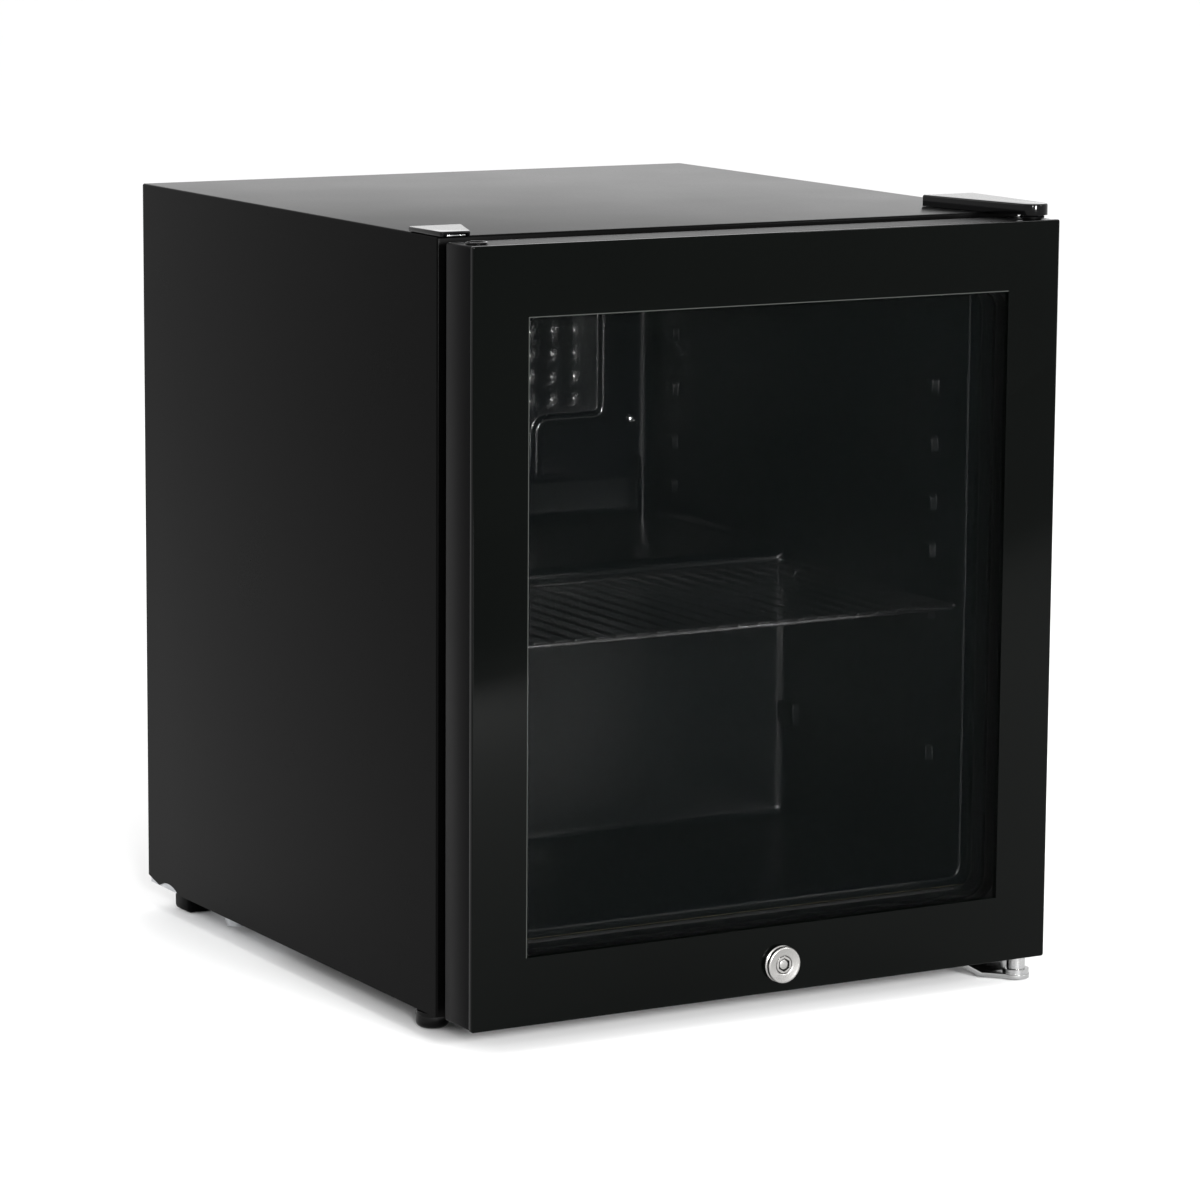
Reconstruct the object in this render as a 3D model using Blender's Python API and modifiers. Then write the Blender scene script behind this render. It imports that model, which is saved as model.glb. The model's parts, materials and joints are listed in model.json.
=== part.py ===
# Drinks fridge: a counter-top glass-door refrigerator, built piece by piece.
#
# Units are metres. +X is the fridge's right-hand side as seen from the front, +Y is its back
# and +Z is up. The origin is on the floor, under the middle of the whole object.
# Most pieces are placed by how far they lie behind the front face of the door.

import bpy
import bmesh
from math import atan2, cos, pi, radians, sin
from mathutils import Matrix, Vector

# Clearances and sheet thicknesses
GAP = 0.0003            # between two pieces that touch
RUN = 0.0003            # radial clearance of a turning fit
SINK = 0.0004           # how far a joined shape reaches into what it stands on
PAST = 0.010            # how far a cutter reaches past what it cuts
STEEL = 0.0008          # folded sheet steel
LINER = 0.0012          # vacuum-formed plastic

# Cabinet
WIDTH = 0.430
DEPTH = 0.480           # from the door's front to the cabinet's back
CABINET_TOP = 0.508
CABINET_BOTTOM = 0.017
SEAL_SPACE = 0.0107     # between the door's back and the cabinet's face
STEEL_FLANGE = 0.014    # front flange of the folded side and top sheet
SILL_TOP = 0.060        # top of the steel strip under the liner's mouth
HEEL_CHAMFER = (0.021, 0.005)   # length and height of the cut at the sides' lower back corner
HEEL_NOTCH = (0.033, 0.0045)    # length and height of the notch in front of it

# Door
DOOR_THICKNESS = 0.036
DOOR_TOP = CABINET_TOP - 0.002
DOOR_BOTTOM = CABINET_BOTTOM + 0.0005
GLASS = 0.004
WINDOW_HALF_WIDTH = WIDTH / 2 - 0.039
WINDOW_TOP = DOOR_TOP - 0.045
WINDOW_BOTTOM = DOOR_BOTTOM + 0.0435
WINDOW_ROUND = 0.014
FRAME_WALL = 0.025      # width of the frame's full-depth rim
FRAME_FRONT_DEPTH = 0.0115
GASKET_WIDTH = 0.012
GASKET_INSET = 0.010

FACE = DOOR_THICKNESS + SEAL_SPACE      # the cabinet's front, behind the door's front
INNER_HALF = WIDTH / 2 - STEEL - GAP    # what fits between the two steel sides

# Liner cavity
CAVITY_HALF_WIDTH = WIDTH / 2 - 0.0375
CAVITY_DRAFT = 0.0025   # how much narrower each side is at the back
CAVITY_FLOOR = SILL_TOP + 0.0065
CAVITY_CEILING = CABINET_TOP - 0.038
CAVITY_BACK = DEPTH - 0.023     # behind the door's front
HUMP_FRONT = DEPTH - 0.214
HUMP_TOP = 0.256
CAVITY_ROUND = 0.008
LUG_OUT = 0.006
LUG_HEIGHT = 0.010
LUG_LENGTH = 0.011
LUG_BACK = CAVITY_BACK - 0.039  # rear row of shelf lugs, behind the door's front
LUG_FRONT = FACE + 0.0383
UPPER_LUGS = (0.396, 0.357, 0.318, 0.286)
LOWER_LUGS = (0.2445, 0.149)
CORNER_LUG_LENGTH = 0.020
CORNER_LUG_HEIGHT = 0.016

# Compressor compartment
COMPARTMENT_FRONT = HUMP_FRONT + 0.028
COMPARTMENT_TOP = HUMP_TOP - 0.034
TRAY_STEEL = 0.0012
TRAY_LIP = 0.022
TRAY_BACK = DEPTH - 0.002
RUNNER_X = WIDTH / 2 - 0.021
RUNNER_BACK = DEPTH - 0.100

# Hinges
HINGE_X = WIDTH / 2 - 0.0105
HINGE_BACK = 0.0165
PIN_RADIUS = 0.0035
BUSH_RADIUS = 0.006
BUSH_FLANGE = 0.008
BUSH_LENGTH = 0.020
COVER_HEIGHT = 0.0077
COVER_REACH = FACE + 0.0533
COVER_WALL = 0.0012
COVER_ROUND = 0.0100    # the cover's front end, round the pin
COVER_LEFT_X = HINGE_X - 0.0305
COVER_RIGHT_X = WIDTH / 2 - 0.0005
TOP_PLATE = 0.0022
ARM_THICKNESS = 0.0028
ARM_FRONT_LOW = 0.0010
ARM_REAR_LOW = CABINET_BOTTOM - ARM_THICKNESS
ARM_BEND = (FACE - 0.0197, FACE + 0.0003)       # where the arm starts and stops rising
ARM_BACK = FACE + 0.0258
ARM_NOSE = 0.0092       # round end of the arm
BOSS_TOP = ARM_FRONT_LOW + 0.0062
COLLAR_RADIUS = 0.0062
SPARE_X = 0.0005 - HINGE_X

# Lock
LOCK_X = 0.010
LOCK_Z = DOOR_BOTTOM + 0.0185
LOCK_PROUD = 0.0055
LOCK_FLANGE = 0.012
LOCK_RIM = 0.0119
LOCK_NECK = 0.0104
LOCK_SLEEVE = 0.008
LOCK_PLUG = 0.0056
CAM_REACH = 0.018
CAM_HALF_WIDTH = 0.006
CAM_THICKNESS = 0.002
SLOT_CLEARANCE = 0.0035
STRIKE_HALF = (CAM_REACH + LOCK_SLEEVE) / 2 + 0.007
STRIKE_X = LOCK_X - (CAM_REACH - LOCK_SLEEVE) / 2
STRIKE_DEPTH = 0.011
STRIKE_LOW = LOCK_Z - 0.013
STRIKE_HIGH = LOCK_Z + 0.0225
STRIKE_WALL = 0.001

# Shelf
SHELF_HALF_WIDTH = CAVITY_HALF_WIDTH - 0.003
SHELF_FRONT = FACE + 0.0043
SHELF_BACK = HUMP_FRONT - 0.0045
SHELF_WIRE = 0.0011     # radius of the thin bars
SHELF_RAIL = 0.0015     # radius of the cross wires
SHELF_BARS = 24

# Evaporator
PLATE_HALF_WIDTH = CAVITY_HALF_WIDTH - 0.0115
PLATE_BOTTOM = HUMP_TOP + 0.027
PLATE_TOP = CAVITY_CEILING - 0.018
PLATE_THICKNESS = 0.0016
CHANNEL_RADIUS = 0.0036
CHANNEL_X = PLATE_HALF_WIDTH - 0.030
CHANNEL_END_X = 0.050
DIMPLE_PITCH_X = 0.0183
DIMPLE_PITCH_Z = 0.0164
DIMPLE_RADIUS = 0.0064
DIMPLE_FLOOR = 0.0024
DIMPLE_DEPTH = 0.0010
DIMPLE_MARGIN = 0.016   # least distance from the plate's top and from the channel's middle
DIMPLE_BOTTOM = PLATE_BOTTOM + 0.062
DIMPLE_ROWS = 1 + int((PLATE_TOP - DIMPLE_MARGIN - DIMPLE_BOTTOM) / DIMPLE_PITCH_Z)
DIMPLE_COLUMNS = 1 + 2 * int((CHANNEL_X - DIMPLE_MARGIN) / DIMPLE_PITCH_X)
PLATE_SCREW_Z = PLATE_BOTTOM + 0.0425
CHANNEL_LOW_Z = PLATE_SCREW_Z + 0.0035  # height of the channel's lower run
CHANNEL_FOOT_X = 0.081
SCREW_X = PLATE_HALF_WIDTH - 0.006
TUBE_RADIUS = 0.0035
TUBE_BEND = 0.008

# Condenser on the back
CONDENSER_PROUD = 0.016
COIL_RADIUS = 0.0025
COIL_HALF_WIDTH = WIDTH / 2 - 0.065
COIL_BOTTOM = COMPARTMENT_TOP + 0.028
COIL_TOP = CABINET_TOP - 0.048
COIL_RUNS = 7
COIL_PITCH = (COIL_TOP - COIL_BOTTOM) / (COIL_RUNS - 1)
COIL_ROUND = 0.015
COIL_WIRE = 0.0014
COIL_WIRES = 10
COIL_BACK = DEPTH + CONDENSER_PROUD - COIL_RADIUS - COIL_WIRE
RISER_OUT = 0.014       # how far beside the coil its two feeding tubes run

# Compressor and what stands round it
SHELL_X = -0.045
SHELL_BACK = DEPTH - 0.092
SHELL_RADIUS = 0.056
SHELL_BOTTOM = 0.036
SHELL_TOP = 0.150
SEAM_PROUD = 0.002
SEAM_LOW = 0.088
SEAM_HIGH = 0.096
MOUNT_X = SHELL_RADIUS + 0.006
MOUNT_BACK = SHELL_RADIUS - 0.014
MOUNT_EDGE = 0.014
GROMMET_RADIUS = 0.011
GROMMET_NECK = 0.007
GROMMET_HEIGHT = 0.013
DISCHARGE_Z = 0.112
DISCHARGE_LOW_Z = 0.085
DISCHARGE_BACK = DEPTH - 0.014
RELAY_HALF = 0.0125
RELAY_HALF_DEPTH = 0.028
DRIP_TRAY_HEIGHT = 0.014
DRIP_TRAY_HALF = 0.048
DRIP_TRAY_WALL = 0.0015
DRAIN_X = -0.045
DRAIN_BACK = DEPTH - 0.044
DRAIN_RADIUS = 0.006
DRAIN_BORE = 0.0032
DRAIN_LENGTH = 0.034    # how far it hangs below the compartment's top
DRIER_X = 0.065 - WIDTH / 2
DRIER_BACK = DEPTH - 0.040
DRIER_LOW = 0.052
DRIER_HIGH = 0.146
DRIER_RADIUS = 0.0095
CAPILLARY_RADIUS = 0.0012
CAPILLARY_X = 0.050
CAPILLARY_STAND_OFF = 0.028
CAPILLARY_Z = 0.030
CAPILLARY_JOIN_Z = 0.200
SUCTION_X = CHANNEL_FOOT_X
SUCTION_Z = PLATE_BOTTOM + 0.009
SUCTION_BACK = CAVITY_BACK + 0.010
SUCTION_PORT_Z = 0.120
SUCTION_BORE = 0.0065   # hole through the foam
SENSOR_X = CAVITY_HALF_WIDTH - 0.012
SENSOR_BACK = CAVITY_BACK - 0.009
SENSOR_RADIUS = 0.003
SENSOR_TOP = HUMP_TOP + 0.044
SENSOR_Z = COMPARTMENT_TOP - 0.026
CONTROL_X = WIDTH / 2 - 0.080
CONTROL_Z = COMPARTMENT_TOP - 0.034
CONTROL_LOW = COMPARTMENT_TOP - 0.062
CONTROL_HALF_WIDTH = 0.020
CONTROL_FRONT = DEPTH - 0.040
CONTROL_BACK = DEPTH - 0.004
SPINDLE_RADIUS = 0.003
GLAND_X = CONTROL_X - 0.015
GLAND_Z = 0.030
GLAND_NECK = 0.0060

# Feet
FOOT_X = WIDTH / 2 - 0.019
REAR_FOOT_X = WIDTH / 2 - 0.023
FOOT_BACK = FACE + 0.0413
FOOT_RADIUS = 0.0108
STUD_RADIUS = 0.003
STUD_TOP = CABINET_BOTTOM + 0.017
REAR_FOOT_BACK = DEPTH - 0.027
REAR_FOOT_HALF = 0.0105
REAR_FOOT_HALF_DEPTH = 0.012
REAR_FOOT_HEIGHT = CABINET_BOTTOM - 0.0005
NUT_RADIUS = 0.006
NUT_HEIGHT = 0.005

DOOR_FRONT_Y = LOCK_PROUD - (LOCK_PROUD + DEPTH + CONDENSER_PROUD) / 2

for item in list(bpy.data.objects):
    bpy.data.objects.remove(item, do_unlink=True)

PARTS = bpy.data.collections.new("drinks_fridge")
CUTTERS = bpy.data.collections.new("cutters")
bpy.context.scene.collection.children.link(PARTS)
bpy.context.scene.collection.children.link(CUTTERS)


def at(x, back, z):
    """A point given by its distance behind the door's front face."""
    return Vector((x, DOOR_FRONT_Y + back, z))


def finish(name, colour, roughness, metallic=0.0, alpha=1.0):
    material = bpy.data.materials.new(name)
    material.use_nodes = True
    shader = material.node_tree.nodes["Principled BSDF"]
    shader.inputs["Base Color"].default_value = (*colour, 1.0)
    shader.inputs["Roughness"].default_value = roughness
    shader.inputs["Metallic"].default_value = metallic
    shader.inputs["Alpha"].default_value = alpha
    return material


FINISHES = {
    "black_steel": finish("black_steel", (0.020, 0.020, 0.021), 0.32, 0.2),
    "galvanised": finish("galvanised", (0.42, 0.43, 0.44), 0.38, 1.0),
    "black_liner": finish("black_liner", (0.012, 0.013, 0.015), 0.35),
    "foam": finish("foam", (0.72, 0.62, 0.38), 0.9),
    "black_plastic": finish("black_plastic", (0.014, 0.014, 0.015), 0.3),
    "gloss_black": finish("gloss_black", (0.010, 0.010, 0.010), 0.08),
    "door_glass": finish("door_glass", (0.035, 0.037, 0.038), 0.03, 0.0, 0.35),
    "seal_rubber": finish("seal_rubber", (0.02, 0.02, 0.02), 0.6),
    "satin_nickel": finish("satin_nickel", (0.62, 0.61, 0.60), 0.28, 1.0),
    "zinc": finish("zinc", (0.66, 0.67, 0.68), 0.18, 1.0),
    "black_wire": finish("black_wire", (0.015, 0.015, 0.016), 0.25),
    "evaporator_black": finish("evaporator_black", (0.016, 0.017, 0.020), 0.4, 0.3),
    "compressor_black": finish("compressor_black", (0.015, 0.015, 0.016), 0.35, 0.3),
    "copper": finish("copper", (0.72, 0.36, 0.22), 0.3, 1.0),
    "grey_rubber": finish("grey_rubber", (0.06, 0.06, 0.06), 0.75),
    "white_plastic": finish("white_plastic", (0.72, 0.72, 0.70), 0.4),
}


# Basic shapes, each a bmesh in world coordinates

def face_outwards(bm):
    bmesh.ops.recalc_face_normals(bm, faces=bm.faces)
    if bm.calc_volume(signed=True) < 0.0:
        bmesh.ops.reverse_faces(bm, faces=bm.faces)


def box(low, high):
    bm = bmesh.new()
    bmesh.ops.create_cube(bm, size=1.0)
    size = [b - a for a, b in zip(low, high)]
    middle = [(a + b) / 2 for a, b in zip(low, high)]
    bmesh.ops.scale(bm, vec=size, verts=bm.verts)
    bmesh.ops.translate(bm, vec=middle, verts=bm.verts)
    return bm


def block(half, back, z, x=0.0):
    """A box given by its half width, its depths behind the door's front and its heights."""
    return box(at(x - half, back[0], z[0]), at(x + half, back[1], z[1]))


def rod(start, end, radius, sides=16, end_radius=None):
    """A closed cylinder, or a cone, from one point to another."""
    start, end = Vector(start), Vector(end)
    bm = bmesh.new()
    tip = radius if end_radius is None else end_radius
    bmesh.ops.create_cone(bm, cap_ends=True, segments=sides, radius1=radius, radius2=tip,
                          depth=(end - start).length)
    turn = Vector((0, 0, 1)).rotation_difference(end - start).to_matrix().to_4x4()
    bm.transform(Matrix.Translation((start + end) / 2) @ turn)
    return bm


def turned(profile, foot, direction, steps=32):
    """A profile of (radius, height) points turned about an axis that starts at foot."""
    bm = bmesh.new()
    points = [bm.verts.new((radius, 0.0, height)) for radius, height in profile]
    closed = profile[0][0] > 0.0
    count = len(points)
    last = count if closed else count - 1
    edges = [bm.edges.new((points[i], points[(i + 1) % count])) for i in range(last)]
    bmesh.ops.spin(bm, geom=points + edges, cent=(0, 0, 0), axis=(0, 0, 1), angle=2 * pi,
                   steps=steps, use_duplicate=False)
    bmesh.ops.remove_doubles(bm, verts=bm.verts, dist=0.00002)
    face_outwards(bm)
    turn = Vector((0, 0, 1)).rotation_difference(Vector(direction)).to_matrix().to_4x4()
    bm.transform(Matrix.Translation(foot) @ turn)
    return bm


def curve_mesh(curve):
    """The closed mesh of a curve, with its caps welded on."""
    holder = bpy.data.objects.new("curve_holder", curve)
    CUTTERS.objects.link(holder)
    graph = bpy.context.evaluated_depsgraph_get()
    mesh = bpy.data.meshes.new_from_object(holder.evaluated_get(graph))
    bm = bmesh.new()
    bm.from_mesh(mesh)
    bmesh.ops.remove_doubles(bm, verts=bm.verts, dist=0.00001)
    face_outwards(bm)
    bpy.data.objects.remove(holder, do_unlink=True)
    bpy.data.meshes.remove(mesh)
    return bm


def cut_out(loops, low, high, facing="Z"):
    """A flat plate with the given outline loops (the first is the outside), low to high."""
    curve = bpy.data.curves.new("outline", "CURVE")
    curve.dimensions = "2D"
    curve.fill_mode = "BOTH"
    curve.extrude = (high - low) / 2
    for loop in loops:
        spline = curve.splines.new("POLY")
        spline.points.add(len(loop) - 1)
        for point, (u, v) in zip(spline.points, loop):
            point.co = (u, v, 0.0, 1.0)
        spline.use_cyclic_u = True
    bm = curve_mesh(curve)
    bmesh.ops.translate(bm, vec=(0, 0, (low + high) / 2), verts=bm.verts)
    if facing == "Y":
        bm.transform(Matrix(((1, 0, 0, 0), (0, 0, 1, 0), (0, 1, 0, 0), (0, 0, 0, 1))))
    if facing == "X":
        bm.transform(Matrix(((0, 0, 1, 0), (1, 0, 0, 0), (0, 1, 0, 0), (0, 0, 0, 1))))
    face_outwards(bm)
    return bm


def tube(points, radius, resolution=2):
    """A round tube along a list of points."""
    curve = bpy.data.curves.new("route", "CURVE")
    curve.dimensions = "3D"
    curve.bevel_depth = radius
    curve.bevel_resolution = resolution
    curve.use_fill_caps = True
    spline = curve.splines.new("POLY")
    spline.points.add(len(points) - 1)
    for point, place in zip(spline.points, points):
        point.co = (*place, 1.0)
    return curve_mesh(curve)


def rounded_route(corners, radius, steps=4):
    """The corners of a route with an arc at each inner one."""
    corners = [Vector(c) for c in corners]
    route = [corners[0]]
    for before, corner, after in zip(corners, corners[1:], corners[2:]):
        back, ahead = (before - corner).normalized(), (after - corner).normalized()
        opening = back.angle(ahead)
        reach = radius / max(0.05, abs(sin(opening / 2) / cos(opening / 2)))
        start, end = corner + back * reach, corner + ahead * reach
        for step in range(steps + 1):
            t = step / steps
            route.append(start * (1 - t) ** 2 + corner * 2 * t * (1 - t) + end * t ** 2)
    route.append(corners[-1])
    return route


def rounded_rectangle(low, high, radius, steps=4):
    """Corner-rounded rectangle from (u, v) low to (u, v) high, anticlockwise."""
    centres = ((high[0] - radius, high[1] - radius, 0), (low[0] + radius, high[1] - radius, 90),
               (low[0] + radius, low[1] + radius, 180), (high[0] - radius, low[1] + radius, 270))
    loop = []
    for u, v, start in centres:
        for step in range(steps + 1):
            angle = radians(start + 90 * step / steps)
            loop.append((u + radius * cos(angle), v + radius * sin(angle)))
    return loop


def rectangle(low, high):
    return [(high[0], high[1]), (low[0], high[1]), (low[0], low[1]), (high[0], low[1])]


def arc(centre, radius, start, end, steps):
    """Points on a circle from one angle to another, in degrees."""
    points = []
    for step in range(steps + 1):
        angle = radians(start + (end - start) * step / steps)
        points.append((centre[0] + radius * cos(angle), centre[1] + radius * sin(angle)))
    return points


# Objects, joints' empties and Boolean work

def pivot(name, place, parent=None):
    """An empty on a joint's axis, which carries the pieces that move with it."""
    empty = bpy.data.objects.new(name, None)
    empty.location = place if parent is None else Vector(place) - Vector(parent["place"])
    empty["place"] = list(place)
    empty.parent = parent
    empty.empty_display_size = 0.02
    PARTS.objects.link(empty)
    return empty


def piece(name, bm, slot, carrier=None, origin=None, smooth=True):
    """A named piece made from a world-space bmesh, seated on its carrier's axis if it has one."""
    place = Vector(carrier["place"]) if carrier else Vector(origin or (0, 0, 0))
    bm.transform(Matrix.Translation(-place))
    mesh = bpy.data.meshes.new(name)
    bm.to_mesh(mesh)
    bm.free()
    if smooth:
        mesh.shade_smooth()
        mesh.set_sharp_from_angle(angle=radians(35))
    item = bpy.data.objects.new(name, mesh)
    item.location = (0, 0, 0) if carrier else place
    item.parent = carrier
    item.data.materials.append(FINISHES[slot])
    PARTS.objects.link(item)
    return item


def tool(bm, name):
    mesh = bpy.data.meshes.new(name)
    bm.to_mesh(mesh)
    bm.free()
    cutter = bpy.data.objects.new(name, mesh)
    cutter.hide_render = True
    cutter.display_type = "WIRE"
    CUTTERS.objects.link(cutter)
    return cutter


def work(item, bm, operation):
    label = f"{item.name}_{operation.lower()}_{len(item.modifiers)}"
    step = item.modifiers.new(label, "BOOLEAN")
    step.operation = operation
    step.solver = "EXACT"
    step.object = tool(bm, label)
    return step


def cut(item, bm):
    return work(item, bm, "DIFFERENCE")


def fuse(item, bm):
    return work(item, bm, "UNION")


def gathered(shapes):
    """Several shapes in one bmesh."""
    joined = bmesh.new()
    for bm in shapes:
        mesh = bpy.data.meshes.new("joined_shape")
        bm.to_mesh(mesh)
        bm.free()
        joined.from_mesh(mesh)
        bpy.data.meshes.remove(mesh)
    return joined


def fuse_many(item, shapes, within=None):
    """Joins shapes, which may cross each other, to a piece; within trims them first."""
    step = work(item, gathered(shapes), "UNION")
    step.use_self = True
    if within:
        limit = step.object.modifiers.new("limit", "BOOLEAN")
        limit.operation = "INTERSECT"
        limit.solver = "EXACT"
        limit.use_self = True
        limit.object = tool(within, f"{item.name}_limit")


def soften(item, width, segments=1, angle=50):
    bevel = item.modifiers.new("soft_edges", "BEVEL")
    bevel.width = width
    bevel.segments = segments
    bevel.limit_method = "ANGLE"
    bevel.angle_limit = radians(angle)
    return bevel


# Cabinet

def cavity(front, swell=0.0):
    """The liner's inner space as a closed solid, each of its planes moved outwards by swell."""
    low, high = CAVITY_FLOOR - swell, CAVITY_CEILING + swell
    step, back = HUMP_FRONT + swell, CAVITY_BACK + swell
    shelf = HUMP_TOP - swell
    corners = [(front, low), (step, low), (step, shelf), (back, shelf), (back, high), (front, high)]
    half = CAVITY_HALF_WIDTH + swell
    bm = bmesh.new()
    side = bm.faces.new([bm.verts.new(at(-half, depth, z)) for depth, z in corners])
    grown = bmesh.ops.extrude_face_region(bm, geom=[side])
    moved = [g for g in grown["geom"] if isinstance(g, bmesh.types.BMVert)]
    bmesh.ops.translate(bm, vec=(2 * half, 0, 0), verts=moved)
    face_outwards(bm)
    for vert in bm.verts:
        depth = vert.co.y - DOOR_FRONT_Y - FACE
        vert.co.x -= (1 if vert.co.x > 0 else -1) * CAVITY_DRAFT * depth / (CAVITY_BACK - FACE)
    mouth_y = at(0, front, 0).y
    rounded = [e for e in bm.edges if not all(abs(v.co.y - mouth_y) < 1e-5 for v in e.verts)]
    bmesh.ops.bevel(bm, geom=rounded, offset=CAVITY_ROUND, segments=2, profile=0.5,
                    affect="EDGES", clamp_overlap=True)
    return bm


def half_width(back):
    """Half the cavity's width at a depth behind the door's front."""
    return CAVITY_HALF_WIDTH - CAVITY_DRAFT * (back - FACE) / (CAVITY_BACK - FACE)


def build_cabinet_shell():
    shell = piece("cabinet_shell", block(WIDTH / 2, (FACE, DEPTH), (CABINET_BOTTOM, CABINET_TOP)),
                  "black_steel", smooth=False)
    cut(shell, block(WIDTH / 2 - STEEL, (FACE + STEEL, DEPTH + 0.01), (0.0, CABINET_TOP - STEEL)))
    cut(shell, block(WIDTH / 2 - STEEL_FLANGE, (FACE - 0.01, FACE + 0.01),
                     (0.0, CABINET_TOP - STEEL_FLANGE)))
    length, height = HEEL_CHAMFER
    heel = [(DOOR_FRONT_Y + DEPTH + 0.002, CABINET_BOTTOM + height * (1 + 0.002 / length)),
            (DOOR_FRONT_Y + DEPTH - length - 0.005, CABINET_BOTTOM - height * 0.005 / length),
            (DOOR_FRONT_Y + DEPTH + 0.002, CABINET_BOTTOM - 0.01)]
    cut(shell, cut_out([heel], -WIDTH, WIDTH, "X"))
    chord, rise = HEEL_NOTCH
    radius = (chord * chord / 4 + rise * rise) / (2 * rise)
    middle = DEPTH - length + 0.005 - chord / 2
    centre = CABINET_BOTTOM + rise - radius
    cut(shell, rod(at(-WIDTH, middle, centre), at(WIDTH, middle, centre), radius, 48))


def build_liner():
    liner = piece("inner_liner", cavity(FACE + LINER / 2, LINER), "black_liner")
    flange = WIDTH / 2 - STEEL_FLANGE - GAP
    fuse(liner, block(flange, (FACE, FACE + LINER), (SILL_TOP + GAP, CABINET_TOP - STEEL_FLANGE - GAP)))
    cut(liner, cavity(FACE - 0.02))
    cut(liner, rod(at(DRAIN_X, DRAIN_BACK, HUMP_TOP - 0.01), at(DRAIN_X, DRAIN_BACK, HUMP_TOP + 0.01),
                   DRAIN_BORE, 12))
    cut(liner, rod(at(SENSOR_X, SENSOR_BACK, HUMP_TOP - 0.01), at(SENSOR_X, SENSOR_BACK, HUMP_TOP + 0.01),
                   SENSOR_RADIUS + GAP, 12))
    cut(liner, rod(at(SUCTION_X, CAVITY_BACK - 0.01, SUCTION_Z), at(SUCTION_X, CAVITY_BACK + 0.01, SUCTION_Z),
                   TUBE_RADIUS + GAP, 16))
    fuse_many(liner, shelf_lugs(), within=cavity(FACE, LINER / 2))


def shelf_lugs():
    """Blocks reaching out of the liner's side walls, longer ones in the corners of the step."""
    lugs = []
    reach = (LUG_OUT + LINER / 2) / 2
    for back, heights in ((LUG_BACK, UPPER_LUGS), (LUG_FRONT, UPPER_LUGS + LOWER_LUGS)):
        middle = half_width(back) - LUG_OUT + reach
        depths = (back - LUG_LENGTH / 2, back + LUG_LENGTH / 2)
        for z in heights:
            lugs += [block(reach, depths, (z - LUG_HEIGHT, z), side * middle) for side in (-1, 1)]
    middle = half_width(HUMP_FRONT) - LUG_OUT + reach
    depths = (HUMP_FRONT - CORNER_LUG_LENGTH, HUMP_FRONT + LINER / 2)
    for z in LOWER_LUGS:
        lugs += [block(reach, depths, (z - CORNER_LUG_HEIGHT, z), side * middle) for side in (-1, 1)]
    return lugs


def build_foam():
    bottom = CABINET_BOTTOM + GAP + STEEL + GAP
    foam = piece("foam_insulation", block(INNER_HALF, (FACE + LINER + GAP, DEPTH - STEEL - GAP),
                                          (bottom, CABINET_TOP - STEEL - GAP)), "foam", smooth=False)
    cut(foam, cavity(FACE - 0.02, LINER + GAP))
    cut(foam, block(WIDTH, (COMPARTMENT_FRONT - STEEL - GAP, DEPTH + 0.01),
                    (0.0, COMPARTMENT_TOP + STEEL + GAP)))
    cut(foam, block(STRIKE_HALF + GAP, (FACE - 0.01, FACE + STEEL + GAP + STRIKE_DEPTH + GAP),
                    (STRIKE_LOW - GAP, STRIKE_HIGH + GAP), STRIKE_X))
    for x, back, radius in ((DRAIN_X, DRAIN_BACK, DRAIN_RADIUS), (SENSOR_X, SENSOR_BACK, SENSOR_RADIUS)):
        cut(foam, rod(at(x, back, COMPARTMENT_TOP - 0.01), at(x, back, HUMP_TOP + 0.01), radius + GAP, 16))
    cut(foam, rod(at(SUCTION_X, SUCTION_BACK, COMPARTMENT_TOP - 0.01), at(SUCTION_X, SUCTION_BACK, SUCTION_Z),
                  SUCTION_BORE, 16))
    cut(foam, rod(at(SUCTION_X, CAVITY_BACK - 0.01, SUCTION_Z),
                  at(SUCTION_X, SUCTION_BACK + SUCTION_BORE / 2, SUCTION_Z), SUCTION_BORE, 16))
    for side in (-1, 1):
        cut(foam, rod(at(side * FOOT_X, FOOT_BACK, 0.0), at(side * FOOT_X, FOOT_BACK, STUD_TOP + 0.002),
                      NUT_RADIUS + 0.001, 12))


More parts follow.
